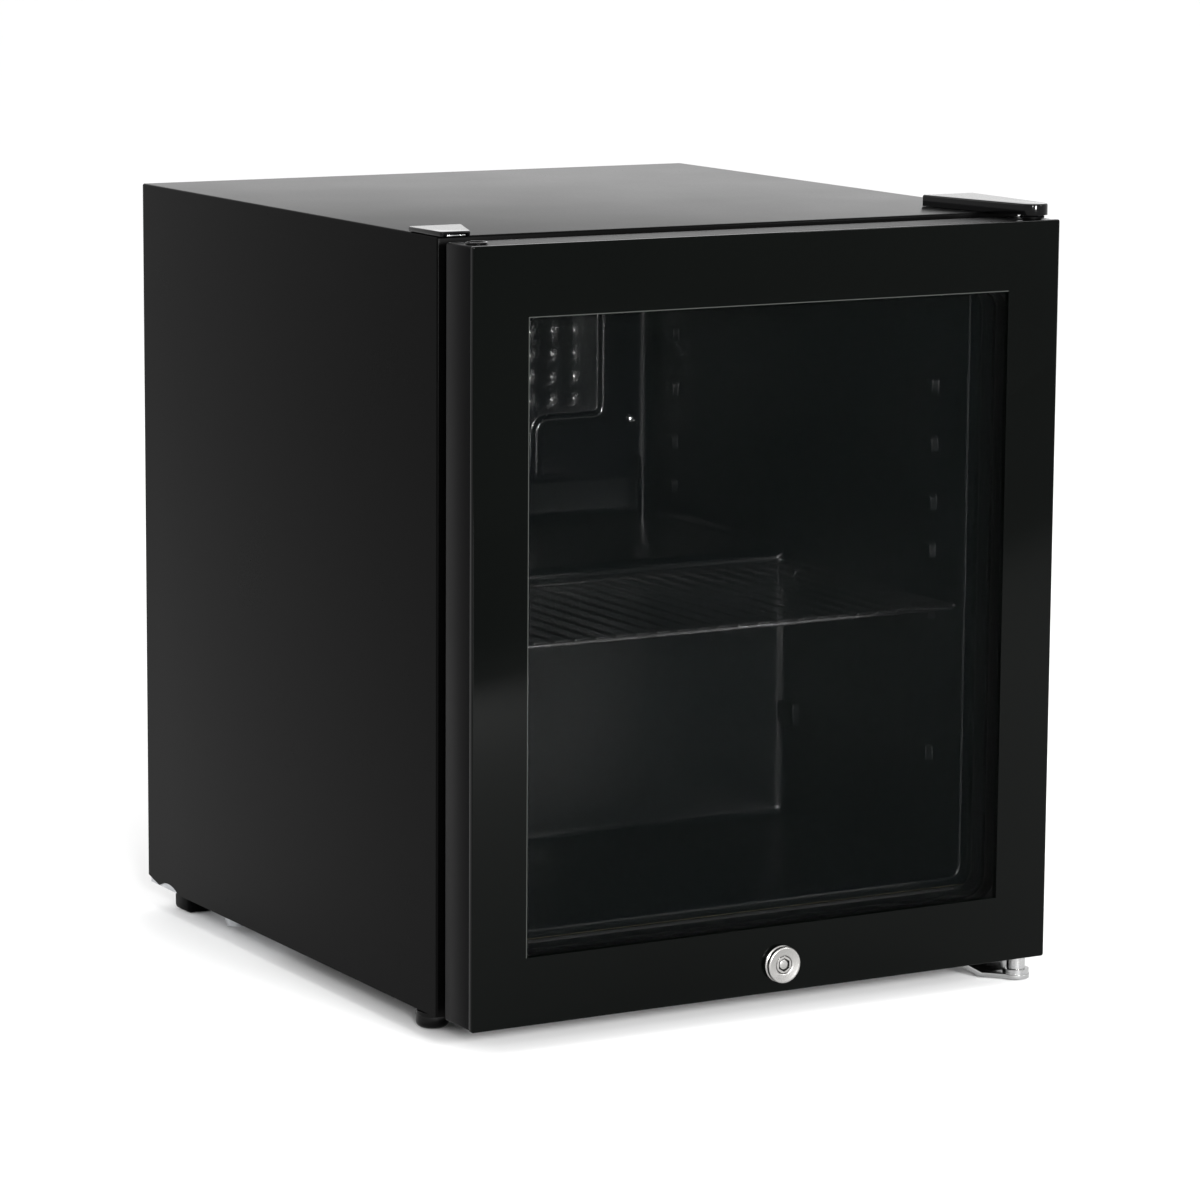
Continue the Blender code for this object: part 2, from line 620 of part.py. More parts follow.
def build_steelwork():
    floor_low = CABINET_BOTTOM + GAP
    floor_high = floor_low + STEEL
    sill_half = WIDTH / 2 - STEEL_FLANGE - GAP
    floor = piece("bottom_panel", block(INNER_HALF, (FACE + STEEL + GAP, COMPARTMENT_FRONT - STEEL - GAP),
                                        (floor_low, floor_high)), "galvanised", smooth=False)
    sill = block(sill_half, (FACE, FACE + STEEL), (floor_low, SILL_TOP))
    fold = block(sill_half, (FACE, FACE + 0.006), (floor_low, floor_high))
    shapes = [sill, fold]
    for side in (-1, 1):
        shapes.append(rod(at(side * FOOT_X, FOOT_BACK, floor_high - SINK),
                          at(side * FOOT_X, FOOT_BACK, floor_high + NUT_HEIGHT), NUT_RADIUS, 6))
    fuse_many(floor, shapes)
    slot_low = LOCK_X - CAM_REACH - SLOT_CLEARANCE
    slot_high = LOCK_X + LOCK_SLEEVE + SLOT_CLEARANCE
    slot_half_height = LOCK_SLEEVE + 0.0015
    cut(floor, box(at(slot_low, FACE - 0.01, LOCK_Z - slot_half_height),
                   at(slot_high, FACE + 0.005, LOCK_Z + slot_half_height)))
    for side in (-1, 1):
        cut(floor, rod(at(side * FOOT_X, FOOT_BACK, 0.0), at(side * FOOT_X, FOOT_BACK, 0.03),
                       STUD_RADIUS + RUN, 16))

    near = FACE + STEEL + GAP
    far = near + STRIKE_DEPTH
    pocket = piece("strike_box", block(STRIKE_HALF, (near, far), (STRIKE_LOW, STRIKE_HIGH), STRIKE_X),
                   "black_plastic", smooth=False)
    cut(pocket, block(STRIKE_HALF - STRIKE_WALL, (near - PAST, far - STRIKE_WALL),
                      (STRIKE_LOW + STRIKE_WALL, STRIKE_HIGH - STRIKE_WALL), STRIKE_X))

    y = DOOR_FRONT_Y
    fold_line = [(y + COMPARTMENT_FRONT - STEEL, floor_high + GAP),
                 (y + COMPARTMENT_FRONT, floor_high + GAP),
                 (y + COMPARTMENT_FRONT, COMPARTMENT_TOP),
                 (y + DEPTH - STEEL - GAP, COMPARTMENT_TOP),
                 (y + DEPTH - STEEL - GAP, COMPARTMENT_TOP + STEEL),
                 (y + COMPARTMENT_FRONT - STEEL, COMPARTMENT_TOP + STEEL)]
    wall = piece("compartment_wall", cut_out([fold_line], -INNER_HALF, INNER_HALF, "X"),
                 "galvanised", smooth=False)
    for x, back, radius in ((DRAIN_X, DRAIN_BACK, DRAIN_RADIUS), (SENSOR_X, SENSOR_BACK, SENSOR_RADIUS),
                            (SUCTION_X, SUCTION_BACK, TUBE_RADIUS)):
        cut(wall, rod(at(x, back, COMPARTMENT_TOP - 0.01), at(x, back, COMPARTMENT_TOP + 0.01),
                      radius + GAP, 16))

    piece("rear_panel", block(INNER_HALF, (DEPTH - STEEL, DEPTH),
                              (COMPARTMENT_TOP, CABINET_TOP - STEEL - GAP)), "black_steel", smooth=False)


def build_compressor_tray():
    low = CABINET_BOTTOM + GAP + STEEL + GAP - TRAY_STEEL
    high = low + TRAY_STEEL
    span = (COMPARTMENT_FRONT + GAP, TRAY_BACK)
    tray = piece("compressor_tray", block(INNER_HALF, span, (low, high)), "galvanised", smooth=False)
    shapes = [block(INNER_HALF, (TRAY_BACK - TRAY_STEEL, TRAY_BACK), (low, high + TRAY_LIP))]
    for side in (-1, 1):
        edge = side * (INNER_HALF - TRAY_STEEL / 2)
        shapes.append(block(TRAY_STEEL / 2, span, (low, high + TRAY_LIP - 0.008), edge))
        x = side * RUNNER_X
        shapes.append(rod(at(x, RUNNER_BACK, 0.0045), at(x, RUNNER_BACK, high - SINK), 0.007, 12, 0.012))
    for x, back, _ in shell_mounts():
        shapes.append(rod(at(x, back, high - SINK), at(x, back, high + GROMMET_HEIGHT + 0.010),
                          STUD_RADIUS, 10))
    fuse_many(tray, shapes)
    cut(tray, rod(at(GLAND_X, TRAY_BACK - PAST, GLAND_Z), at(GLAND_X, TRAY_BACK + PAST, GLAND_Z),
                  GLAND_NECK + GAP, 20))
    for side in (-1, 1):
        x = side * REAR_FOOT_X
        cut(tray, rod(at(x, REAR_FOOT_BACK, 0.0), at(x, REAR_FOOT_BACK, high + PAST),
                      STUD_RADIUS + GAP, 16))
    return high


def shell_mounts():
    """The compressor's four mounting points: x, depth behind the door's front, and a name."""
    places = []
    for side, x_name in ((-1, "left"), (1, "right")):
        for ahead, depth_name in ((-1, "front"), (1, "rear")):
            place = (SHELL_X + side * MOUNT_X, SHELL_BACK + ahead * MOUNT_BACK)
            places.append((*place, f"{x_name}_{depth_name}"))
    return places


def build_feet():
    profile = [(0.0, 0.0), (FOOT_RADIUS - 0.003, 0.0), (FOOT_RADIUS - 0.0008, 0.0012), (FOOT_RADIUS, 0.004),
               (FOOT_RADIUS, 0.010), (FOOT_RADIUS - 0.003, 0.013), (0.007, 0.0145), (0.007, CABINET_BOTTOM),
               (STUD_RADIUS, CABINET_BOTTOM), (STUD_RADIUS, STUD_TOP), (0.0, STUD_TOP)]
    for side, label in ((-1, "left"), (1, "right")):
        axis = pivot(f"foot_axis_{label}", at(side * FOOT_X, FOOT_BACK, 0.0))
        foot = turned(profile, at(side * FOOT_X, FOOT_BACK, 0.0), (0, 0, 1), 18)
        piece(f"foot_front_{label}", foot, "black_plastic", axis)
        rear = piece(f"foot_rear_{label}",
                     block(REAR_FOOT_HALF, (REAR_FOOT_BACK - REAR_FOOT_HALF_DEPTH,
                                            REAR_FOOT_BACK + REAR_FOOT_HALF_DEPTH),
                           (0.0, REAR_FOOT_HEIGHT), side * REAR_FOOT_X), "black_plastic")
        soften(rear, 0.003, 2)
        fuse(rear, rod(at(side * REAR_FOOT_X, REAR_FOOT_BACK, REAR_FOOT_HEIGHT - 0.0065),
                       at(side * REAR_FOOT_X, REAR_FOOT_BACK, REAR_FOOT_HEIGHT + 0.0075), STUD_RADIUS, 12))


# Cold side

def build_evaporator():
    front = CAVITY_BACK - GAP - PLATE_THICKNESS
    outline = rounded_rectangle((-PLATE_HALF_WIDTH, PLATE_BOTTOM), (PLATE_HALF_WIDTH, PLATE_TOP), 0.006, 2)
    low, high = DOOR_FRONT_Y + front, DOOR_FRONT_Y + CAVITY_BACK - GAP
    plate = piece("evaporator_plate", cut_out([outline], low, high, "Y"), "evaporator_black")
    depth = front + 0.0004
    top = PLATE_TOP - 0.010
    corners = [at(CHANNEL_FOOT_X, depth, SUCTION_Z), at(CHANNEL_FOOT_X, depth, CHANNEL_LOW_Z),
               at(CHANNEL_X, depth, CHANNEL_LOW_Z), at(CHANNEL_X, depth, top),
               at(-CHANNEL_X, depth, top), at(-CHANNEL_X, depth, CHANNEL_LOW_Z),
               at(CHANNEL_END_X, depth, CHANNEL_LOW_Z)]
    channel = tube(rounded_route(corners, 0.010, 3), CHANNEL_RADIUS, 1)
    trim = block(WIDTH, (CAVITY_BACK - GAP - PLATE_THICKNESS / 2, DEPTH), (0.0, CABINET_TOP))
    channel_piece = tool(channel, "evaporator_channel")
    flat = channel_piece.modifiers.new("flat_back", "BOOLEAN")
    flat.operation = "DIFFERENCE"
    flat.object = tool(trim, "evaporator_channel_trim")
    step = plate.modifiers.new("raised_channel", "BOOLEAN")
    step.operation = "UNION"
    step.object = channel_piece
    dents = []
    for column in range(DIMPLE_COLUMNS):
        for row in range(DIMPLE_ROWS):
            x = (column - (DIMPLE_COLUMNS - 1) / 2) * DIMPLE_PITCH_X
            z = DIMPLE_BOTTOM + row * DIMPLE_PITCH_Z
            dents.append(rod(at(x, front - GAP, z), at(x, front + DIMPLE_DEPTH, z),
                             DIMPLE_RADIUS, 6, DIMPLE_FLOOR))
    cut(plate, gathered(dents))
    for side, label in ((-1, "left"), (1, "right")):
        x = side * SCREW_X
        clip = [(0.0, -0.0022), (0.0028, -0.0022), (0.0034, -0.0008), (0.0034, 0.0), (0.0, 0.0)]
        head = turned(clip, at(x, front - GAP, PLATE_SCREW_Z), (0, 1, 0), 12)
        piece(f"evaporator_screw_{label}", head, "zinc")


def build_cold_tubes():
    corners = [at(SUCTION_X, CAVITY_BACK + 0.001, SUCTION_Z), at(SUCTION_X, SUCTION_BACK, SUCTION_Z),
               at(SUCTION_X, SUCTION_BACK, SUCTION_PORT_Z), at(SUCTION_X, SHELL_BACK, SUCTION_PORT_Z),
               at(SHELL_X + SHELL_RADIUS + GAP, SHELL_BACK, SUCTION_PORT_Z)]
    piece("suction_tube", tube(rounded_route(corners, TUBE_BEND, 3), TUBE_RADIUS, 1), "copper")
    corners = [at(SENSOR_X, SENSOR_BACK, SENSOR_TOP), at(SENSOR_X, SENSOR_BACK, SENSOR_Z),
               at(CONTROL_X + CONTROL_HALF_WIDTH + GAP, SENSOR_BACK, SENSOR_Z)]
    sleeve = rounded_route(corners, 2 * SENSOR_RADIUS, 3)
    piece("sensor_tube", tube(sleeve, SENSOR_RADIUS), "evaporator_black")

    high, low = HUMP_TOP - LINER - GAP, COMPARTMENT_TOP - DRAIN_LENGTH
    drain = [(DRAIN_BORE, low), (DRAIN_RADIUS, low), (DRAIN_RADIUS, high), (DRAIN_BORE, high)]
    piece("drain_tube", turned(drain, at(DRAIN_X, DRAIN_BACK, 0.0), (0, 0, 1), 14), "white_plastic")


# Compressor compartment

def build_compressor(tray_top):
    crown, brow, seam = SHELL_RADIUS - 0.026, SHELL_RADIUS - 0.008, SHELL_RADIUS + SEAM_PROUD
    body = [(0.0, SHELL_BOTTOM), (crown, SHELL_BOTTOM), (brow, SHELL_BOTTOM + 0.008),
            (SHELL_RADIUS, SHELL_BOTTOM + 0.024), (SHELL_RADIUS, SEAM_LOW), (seam, SEAM_LOW + 0.001),
            (seam, SEAM_HIGH - 0.001), (SHELL_RADIUS, SEAM_HIGH), (SHELL_RADIUS, SHELL_TOP - 0.024),
            (brow, SHELL_TOP - 0.008), (crown, SHELL_TOP), (0.0, SHELL_TOP)]
    shell = piece("compressor", turned(body, at(SHELL_X, SHELL_BACK, 0.0), (0, 0, 1), 20),
                  "compressor_black")
    half_x, half_back = MOUNT_X + MOUNT_EDGE, MOUNT_BACK + MOUNT_EDGE
    middle = at(SHELL_X, SHELL_BACK, 0.0)
    outline = rounded_rectangle((middle.x - half_x, middle.y - half_back),
                                (middle.x + half_x, middle.y + half_back), MOUNT_EDGE - 0.002, 2)
    fuse(shell, cut_out([outline], SHELL_BOTTOM - 0.001, SHELL_BOTTOM + 0.002))
    for x, back, name in shell_mounts():
        cut(shell, rod(at(x, back, 0.0), at(x, back, SHELL_BOTTOM + 0.0055), GROMMET_NECK + 0.0005, 14))
        neck, top = SHELL_BOTTOM - 0.001 - GAP, SHELL_BOTTOM + 0.004
        bore = STUD_RADIUS + GAP
        bush = [(bore, tray_top + GAP), (GROMMET_RADIUS, tray_top + GAP), (GROMMET_RADIUS - 0.001, neck),
                (GROMMET_NECK, neck), (GROMMET_NECK, top), (bore, top)]
        piece(f"grommet_{name}", turned(bush, at(x, back, 0.0), (0, 0, 1), 12), "grey_rubber")


def build_compartment_fittings():
    relay_x = SHELL_X - (SHELL_RADIUS + SEAM_PROUD + GAP) - RELAY_HALF
    relay = piece("relay_cover",
                  block(RELAY_HALF, (SHELL_BACK - RELAY_HALF_DEPTH, SHELL_BACK + RELAY_HALF_DEPTH),
                        (SEAM_LOW - 0.014, SEAM_HIGH + 0.026), relay_x), "black_plastic")
    soften(relay, 0.003, 2)

    low, wall = SHELL_TOP + GAP, DRIP_TRAY_WALL
    top = low + DRIP_TRAY_HEIGHT
    near, far = SHELL_BACK - 0.040, DRAIN_BACK + 0.016
    pan = piece("drip_tray", block(DRIP_TRAY_HALF, (near, far), (low, top), SHELL_X), "white_plastic",
                smooth=False)
    cut(pan, block(DRIP_TRAY_HALF - wall, (near + wall, far - wall), (low + wall, top + PAST), SHELL_X))


def build_warm_tubes():
    end = DRIER_LOW + 0.008
    shoulder = DRIER_HIGH - 0.008
    drier = [(0.0, DRIER_LOW), (TUBE_RADIUS, DRIER_LOW), (TUBE_RADIUS, end), (DRIER_RADIUS, end + 0.008),
             (DRIER_RADIUS, shoulder - 0.008), (TUBE_RADIUS, shoulder), (TUBE_RADIUS, DRIER_HIGH),
             (0.0, DRIER_HIGH)]
    piece("filter_drier", turned(drier, at(DRIER_X, DRIER_BACK, 0.0), (0, 0, 1), 12), "copper")

    turn_x = -COIL_HALF_WIDTH - RISER_OUT
    above = DRIER_HIGH + 0.039
    corners = [at(-COIL_HALF_WIDTH - GAP, COIL_BACK, COIL_BOTTOM), at(turn_x, COIL_BACK, COIL_BOTTOM),
               at(turn_x, COIL_BACK, above), at(DRIER_X, DRIER_BACK, above),
               at(DRIER_X, DRIER_BACK, DRIER_HIGH + GAP)]
    piece("condenser_outlet_tube", tube(rounded_route(corners, TUBE_BEND, 3), COIL_RADIUS, 1), "copper")

    front = COMPARTMENT_FRONT + CAPILLARY_STAND_OFF
    corners = [at(DRIER_X, DRIER_BACK, DRIER_LOW - GAP), at(DRIER_X, DRIER_BACK, CAPILLARY_Z),
               at(DRIER_X, front, CAPILLARY_Z), at(CAPILLARY_X, front, CAPILLARY_Z),
               at(CAPILLARY_X, front, CAPILLARY_JOIN_Z), at(CAPILLARY_X, SUCTION_BACK, CAPILLARY_JOIN_Z),
               at(SUCTION_X - TUBE_RADIUS - GAP, SUCTION_BACK, CAPILLARY_JOIN_Z)]
    piece("capillary_tube", tube(rounded_route(corners, 0.010, 3), CAPILLARY_RADIUS, 1), "copper")

    riser_x = COIL_HALF_WIDTH + RISER_OUT
    corners = [at(SHELL_X, SHELL_BACK + SHELL_RADIUS + GAP, DISCHARGE_Z),
               at(SHELL_X, DISCHARGE_BACK - 0.004, DISCHARGE_Z),
               at(SHELL_X + 0.035, DISCHARGE_BACK, DISCHARGE_LOW_Z),
               at(riser_x - 0.054, DISCHARGE_BACK, DISCHARGE_LOW_Z),
               at(riser_x, COIL_BACK, DISCHARGE_LOW_Z + 0.025), at(riser_x, COIL_BACK, COIL_TOP),
               at(COIL_HALF_WIDTH + GAP, COIL_BACK, COIL_TOP)]
    piece("discharge_tube", tube(rounded_route(corners, TUBE_BEND, 3), COIL_RADIUS, 1), "copper")


def build_condenser():
    corners = []
    for run in range(COIL_RUNS):
        z = COIL_BOTTOM + run * COIL_PITCH
        side = -1 if run % 2 == 0 else 1
        corners += [at(side * COIL_HALF_WIDTH, COIL_BACK, z), at(-side * COIL_HALF_WIDTH, COIL_BACK, z)]
    route = rounded_route(corners, COIL_ROUND, 2)
    coil = piece("condenser_coil", tube(route, COIL_RADIUS, 1), "black_wire")
    wires = []
    span = COIL_HALF_WIDTH - 0.018
    bite = 0.3 * COIL_WIRE
    for index in range(COIL_WIRES):
        x = -span + 2 * span * index / (COIL_WIRES - 1)
        depths = (COIL_BACK + COIL_RADIUS - bite, COIL_BACK + COIL_RADIUS + COIL_WIRE)
        if index % 2 == 0:
            depths = (COIL_BACK - COIL_RADIUS - COIL_WIRE, COIL_BACK - COIL_RADIUS + bite)
        wires.append(block(COIL_WIRE / 2, depths, (COIL_BOTTOM - 0.008, COIL_TOP + 0.008), x))
    fuse_many(coil, wires)
    reach = COIL_PITCH / 2 + 0.0005
    for side, label in ((-1, "left"), (1, "right")):
        for z, level in ((COIL_BOTTOM + COIL_PITCH / 2, "lower"), (COIL_TOP - COIL_PITCH / 2, "upper")):
            stand = piece(f"condenser_clip_{level}_{label}",
                          block(0.007, (DEPTH + GAP, COIL_BACK - COIL_RADIUS - GAP), (z - reach, z + reach),
                                side * (COIL_HALF_WIDTH - 0.030)), "black_plastic")
            soften(stand, 0.001, 1)


def build_control():
    body = piece("thermostat_box", block(CONTROL_HALF_WIDTH, (CONTROL_FRONT, CONTROL_BACK),
                                           (CONTROL_LOW, COMPARTMENT_TOP - GAP), CONTROL_X), "black_plastic")
    soften(body, 0.002, 2)
    centre = at(CONTROL_X, CONTROL_BACK, CONTROL_Z)
    axis = pivot("control_axis", centre)
    cut(body, rod(at(CONTROL_X, CONTROL_BACK - 0.008, CONTROL_Z), at(CONTROL_X, DEPTH + 0.01, CONTROL_Z),
                  SPINDLE_RADIUS + RUN, 16))
    knob = [(0.0, -0.007), (SPINDLE_RADIUS, -0.007), (SPINDLE_RADIUS, 2 * GAP),
            (0.0135, 2 * GAP), (0.0135, 0.0030),
            (0.0110, 0.0105), (0.0100, 0.0115), (0.0, 0.0115)]
    dial = piece("thermostat_knob", turned(knob, centre, (0, 1, 0), 20),
                 "white_plastic", axis)
    fuse(dial, block(0.0016, (CONTROL_BACK + 0.008, CONTROL_BACK + 0.0150),
                     (CONTROL_Z - 0.010, CONTROL_Z + 0.010), CONTROL_X))

    gland = [(0.0042, -0.016), (GLAND_NECK, -0.016), (GLAND_NECK, 0.0003), (0.0088, 0.0003),
             (0.0084, 0.004), (0.0060, 0.009), (0.0042, 0.009)]
    piece("cable_gland", turned(gland, at(GLAND_X, TRAY_BACK, GLAND_Z), (0, 1, 0), 14), "black_plastic")


# Shelf

def build_shelf():
    axis = pivot("shelf_slide", at(0.0, SHELF_BACK, LOWER_LUGS[0]))
    rail_z = LOWER_LUGS[0] + GAP + SHELF_RAIL
    bar_z = rail_z + SHELF_RAIL + SHELF_WIRE - 0.0004
    front_rail = SHELF_FRONT + 0.004
    shelf = piece("wire_shelf", rod(at(-SHELF_HALF_WIDTH, front_rail, rail_z),
                                    at(SHELF_HALF_WIDTH, front_rail, rail_z), SHELF_RAIL, 6),
                  "black_wire", axis)
    wires = []
    for back in (SHELF_FRONT + 0.010, SHELF_BACK - 0.004):
        wires.append(rod(at(-SHELF_HALF_WIDTH, back, rail_z), at(SHELF_HALF_WIDTH, back, rail_z),
                         SHELF_RAIL, 6))
    for index in range(SHELF_BARS):
        x = (2 * index / (SHELF_BARS - 1) - 1) * (SHELF_HALF_WIDTH - SHELF_WIRE)
        wires.append(rod(at(x, SHELF_FRONT, bar_z), at(x, SHELF_BACK, bar_z), SHELF_WIRE, 4))
    fuse_many(shelf, wires)


# Door

def build_door_glass(hinge):
    y = DOOR_FRONT_Y
    face = rounded_rectangle((-WIDTH / 2, DOOR_BOTTOM), (WIDTH / 2, DOOR_TOP), 0.0015, 2)
    hole = arc((LOCK_X, LOCK_Z), LOCK_SLEEVE + GAP, 0, 345, 23)
    pane = piece("door_glass_outer", cut_out([face, hole], y, y + GLASS, "Y"), "door_glass", hinge,
                 smooth=False)
    soften(pane, 0.0007, 1, 60)
    inner_half = WIDTH / 2 - FRAME_WALL - GAP
    low, high = WINDOW_BOTTOM - 0.0125, WINDOW_TOP + (inner_half - WINDOW_HALF_WIDTH)
    start = GLASS + GAP + FRAME_FRONT_DEPTH + GAP
    piece("door_glass_inner", cut_out([rectangle((-inner_half, low), (inner_half, high))],
                                      y + start, y + start + GLASS, "Y"), "door_glass", hinge, smooth=False)
    bezel_start = start + GLASS + GAP
    inner = rounded_rectangle((-WINDOW_HALF_WIDTH - 0.002, WINDOW_BOTTOM),
                              (WINDOW_HALF_WIDTH + 0.002, WINDOW_TOP), WINDOW_ROUND, 5)
    piece("door_bezel", cut_out([rectangle((-inner_half, low), (inner_half, high)), inner],
                                y + bezel_start, y + DOOR_THICKNESS - GAP, "Y"), "black_plastic", hinge)
    return inner_half, low, high


def build_door_frame(hinge, inner_half, low, high):
    y = DOOR_FRONT_Y
    half = WIDTH / 2 - 0.0004
    bottom, top = DOOR_BOTTOM + 0.0004, DOOR_TOP - 0.0004
    outer = rounded_rectangle((-half, bottom), (half, top), 0.0015, 2)
    window = rounded_rectangle((-WINDOW_HALF_WIDTH - 0.001, WINDOW_BOTTOM - 0.001),
                               (WINDOW_HALF_WIDTH + 0.001, WINDOW_TOP + 0.001), WINDOW_ROUND, 5)
    frame = piece("door_frame", cut_out([outer, window], y + GLASS + GAP, y + DOOR_THICKNESS, "Y"),
                  "black_plastic", hinge)
    cut(frame, box(at(-inner_half - GAP, GLASS + GAP + FRAME_FRONT_DEPTH, low - GAP),
                   at(inner_half + GAP, DOOR_THICKNESS + 0.01, high + GAP)))
    for z, direction in ((DOOR_TOP, -1), (DOOR_BOTTOM, 1)):
        for x in (HINGE_X, SPARE_X):
            cut(frame, rod(at(x, HINGE_BACK, z - direction * 0.01),
                           at(x, HINGE_BACK, z + direction * (BUSH_LENGTH + 0.0004)), BUSH_RADIUS + GAP, 20))
    cut(frame, rod(at(LOCK_X, -PAST, LOCK_Z), at(LOCK_X, DOOR_THICKNESS + PAST, LOCK_Z),
                   LOCK_SLEEVE + GAP, 24))

    reach = WIDTH / 2 - GASKET_INSET
    gasket_bottom = LOCK_Z + 0.0118
    seal_outer = rounded_rectangle((-reach, gasket_bottom), (reach, DOOR_TOP - GASKET_INSET), 0.003, 2)
    seal_inner = rounded_rectangle((-reach + GASKET_WIDTH, gasket_bottom + GASKET_WIDTH),
                                   (reach - GASKET_WIDTH, DOOR_TOP - GASKET_INSET - GASKET_WIDTH), 0.003, 2)
    piece("door_gasket", cut_out([seal_outer, seal_inner], y + DOOR_THICKNESS + GAP, y + FACE - GAP, "Y"),
          "seal_rubber", hinge)


def build_bushes(hinge):
    for label, z, up in (("top", DOOR_TOP, 1), ("bottom", DOOR_BOTTOM, -1)):
        bore = PIN_RADIUS + RUN
        flange = GAP + 0.0014
        profile = [(bore, -BUSH_LENGTH), (BUSH_RADIUS, -BUSH_LENGTH), (BUSH_RADIUS, GAP),
                   (BUSH_FLANGE, GAP), (BUSH_FLANGE, flange), (bore, flange)]
        bush = turned(profile, at(HINGE_X, HINGE_BACK, z), (0, 0, up), 18)
        piece(f"door_bush_{label}", bush, "black_plastic", hinge)
        stopper = [(0.0, -BUSH_LENGTH * 0.6), (BUSH_RADIUS - 0.0008, -BUSH_LENGTH * 0.6),
                   (BUSH_RADIUS, -BUSH_LENGTH * 0.5), (BUSH_RADIUS, GAP), (BUSH_FLANGE - 0.001, GAP),
                   (BUSH_FLANGE - 0.0014, flange - 0.0004), (0.0, flange - 0.0004)]
        plug = turned(stopper, at(SPARE_X, HINGE_BACK, z), (0, 0, up), 16)
        piece(f"door_plug_{label}", plug, "gloss_black", hinge)


def build_lock(hinge):
    centre = at(LOCK_X, 0.0, LOCK_Z)
    bore = LOCK_PLUG + RUN
    sleeve_end = FACE + 0.0028
    barrel = [(bore, sleeve_end), (LOCK_SLEEVE, sleeve_end), (LOCK_SLEEVE, -GAP), (LOCK_FLANGE, -GAP),
              (LOCK_FLANGE, -0.0011), (LOCK_NECK, -0.0015), (LOCK_NECK, -0.0021), (LOCK_RIM, -0.0026),
              (LOCK_RIM, -LOCK_PROUD + 0.0011), (LOCK_RIM - 0.0011, -LOCK_PROUD), (bore + 0.0008, -0.0046),
              (bore, -0.0042)]
    piece("lock_barrel", turned(barrel, centre, (0, 1, 0), 24), "satin_nickel", hinge)
    nut = piece("lock_nut", rod(at(LOCK_X, DOOR_THICKNESS + GAP, LOCK_Z),
                                at(LOCK_X, DOOR_THICKNESS + 0.0035, LOCK_Z), 0.0112, 6), "zinc", hinge,
                smooth=False)
    cut(nut, rod(at(LOCK_X, 0.0, LOCK_Z), at(LOCK_X, FACE, LOCK_Z), LOCK_SLEEVE + GAP, 24))

    turn = pivot("lock_axis", centre, hinge)
    end = sleeve_end + GAP + CAM_THICKNESS + GAP
    core = piece("lock_plug", rod(at(LOCK_X, -0.0044, LOCK_Z), at(LOCK_X, end + 0.0012, LOCK_Z),
                                  LOCK_PLUG, 24), "satin_nickel", turn)
    cut(core, rod(at(LOCK_X, -0.01, LOCK_Z), at(LOCK_X, 0.0030, LOCK_Z), 0.0045, 6))
    fuse(core, rod(at(LOCK_X, 0.0040, LOCK_Z), at(LOCK_X, -0.0040, LOCK_Z), 0.0029, 16))
    tip = [(LOCK_X - CAM_REACH, LOCK_Z - CAM_HALF_WIDTH), (LOCK_X, LOCK_Z - CAM_HALF_WIDTH - 0.0015)]
    around = arc((LOCK_X, LOCK_Z), CAM_HALF_WIDTH + 0.0015, -80, 80, 8)
    heel = [(LOCK_X, LOCK_Z + CAM_HALF_WIDTH + 0.0015), (LOCK_X - CAM_REACH, LOCK_Z + CAM_HALF_WIDTH)]
    hole = arc((LOCK_X, LOCK_Z), LOCK_PLUG + GAP, 0, 345, 23)
    start = DOOR_FRONT_Y + sleeve_end + GAP
    piece("lock_cam", cut_out([tip + around + heel, hole], start, start + CAM_THICKNESS, "Y"), "zinc", turn)


def screw_head(name, place, up):
    head = [(0.0, 0.0), (0.0038, 0.0), (0.0036, 0.0012), (0.0022, 0.0020), (0.0, 0.0022)]
    piece(name, turned(head, place, (0, 0, up), 12), "zinc")


def build_top_hinge():
    y = DOOR_FRONT_Y
    pin = (HINGE_X, y + HINGE_BACK)
    low, high = CABINET_TOP + GAP, CABINET_TOP + GAP + TOP_PLATE
    tongue = arc(pin, 0.0075, 180, 360, 8)
    near, far = y + FACE + 0.0113, y + FACE + 0.0393
    outline = [(HINGE_X - 0.0220, far), (HINGE_X - 0.0165, near)] + tongue + [(HINGE_X + 0.0075, far)]
    upper = piece("top_hinge_bracket", cut_out([outline], low, high), "black_steel", smooth=False)
    fuse(upper, rod(at(HINGE_X, HINGE_BACK, high - 0.0005), at(HINGE_X, HINGE_BACK, DOOR_TOP - 0.0175),
                    PIN_RADIUS, 20))
    for x, label in ((HINGE_X - 0.016, "left"), (HINGE_X + 0.0005, "right")):
        screw_head(f"top_hinge_screw_{label}", at(x, FACE + 0.0253, high + GAP), 1)

    reach = y + COVER_REACH
    skirt = [(COVER_LEFT_X, reach)] + arc(pin, COVER_ROUND, 200, 360, 10) + [(COVER_RIGHT_X, reach)]
    high = CABINET_TOP + COVER_HEIGHT
    cover = piece("hinge_cover", cut_out([skirt], low, high), "gloss_black")
    soften(cover, 0.0008, 2, 60)
    inside = [(COVER_LEFT_X + COVER_WALL * 1.3, reach - COVER_WALL)]
    inside += arc(pin, COVER_ROUND - COVER_WALL, 200, 360, 8)
    inside += [(COVER_RIGHT_X - COVER_WALL, reach - COVER_WALL)]
    cut(cover, cut_out([inside], low - PAST, high - COVER_WALL))


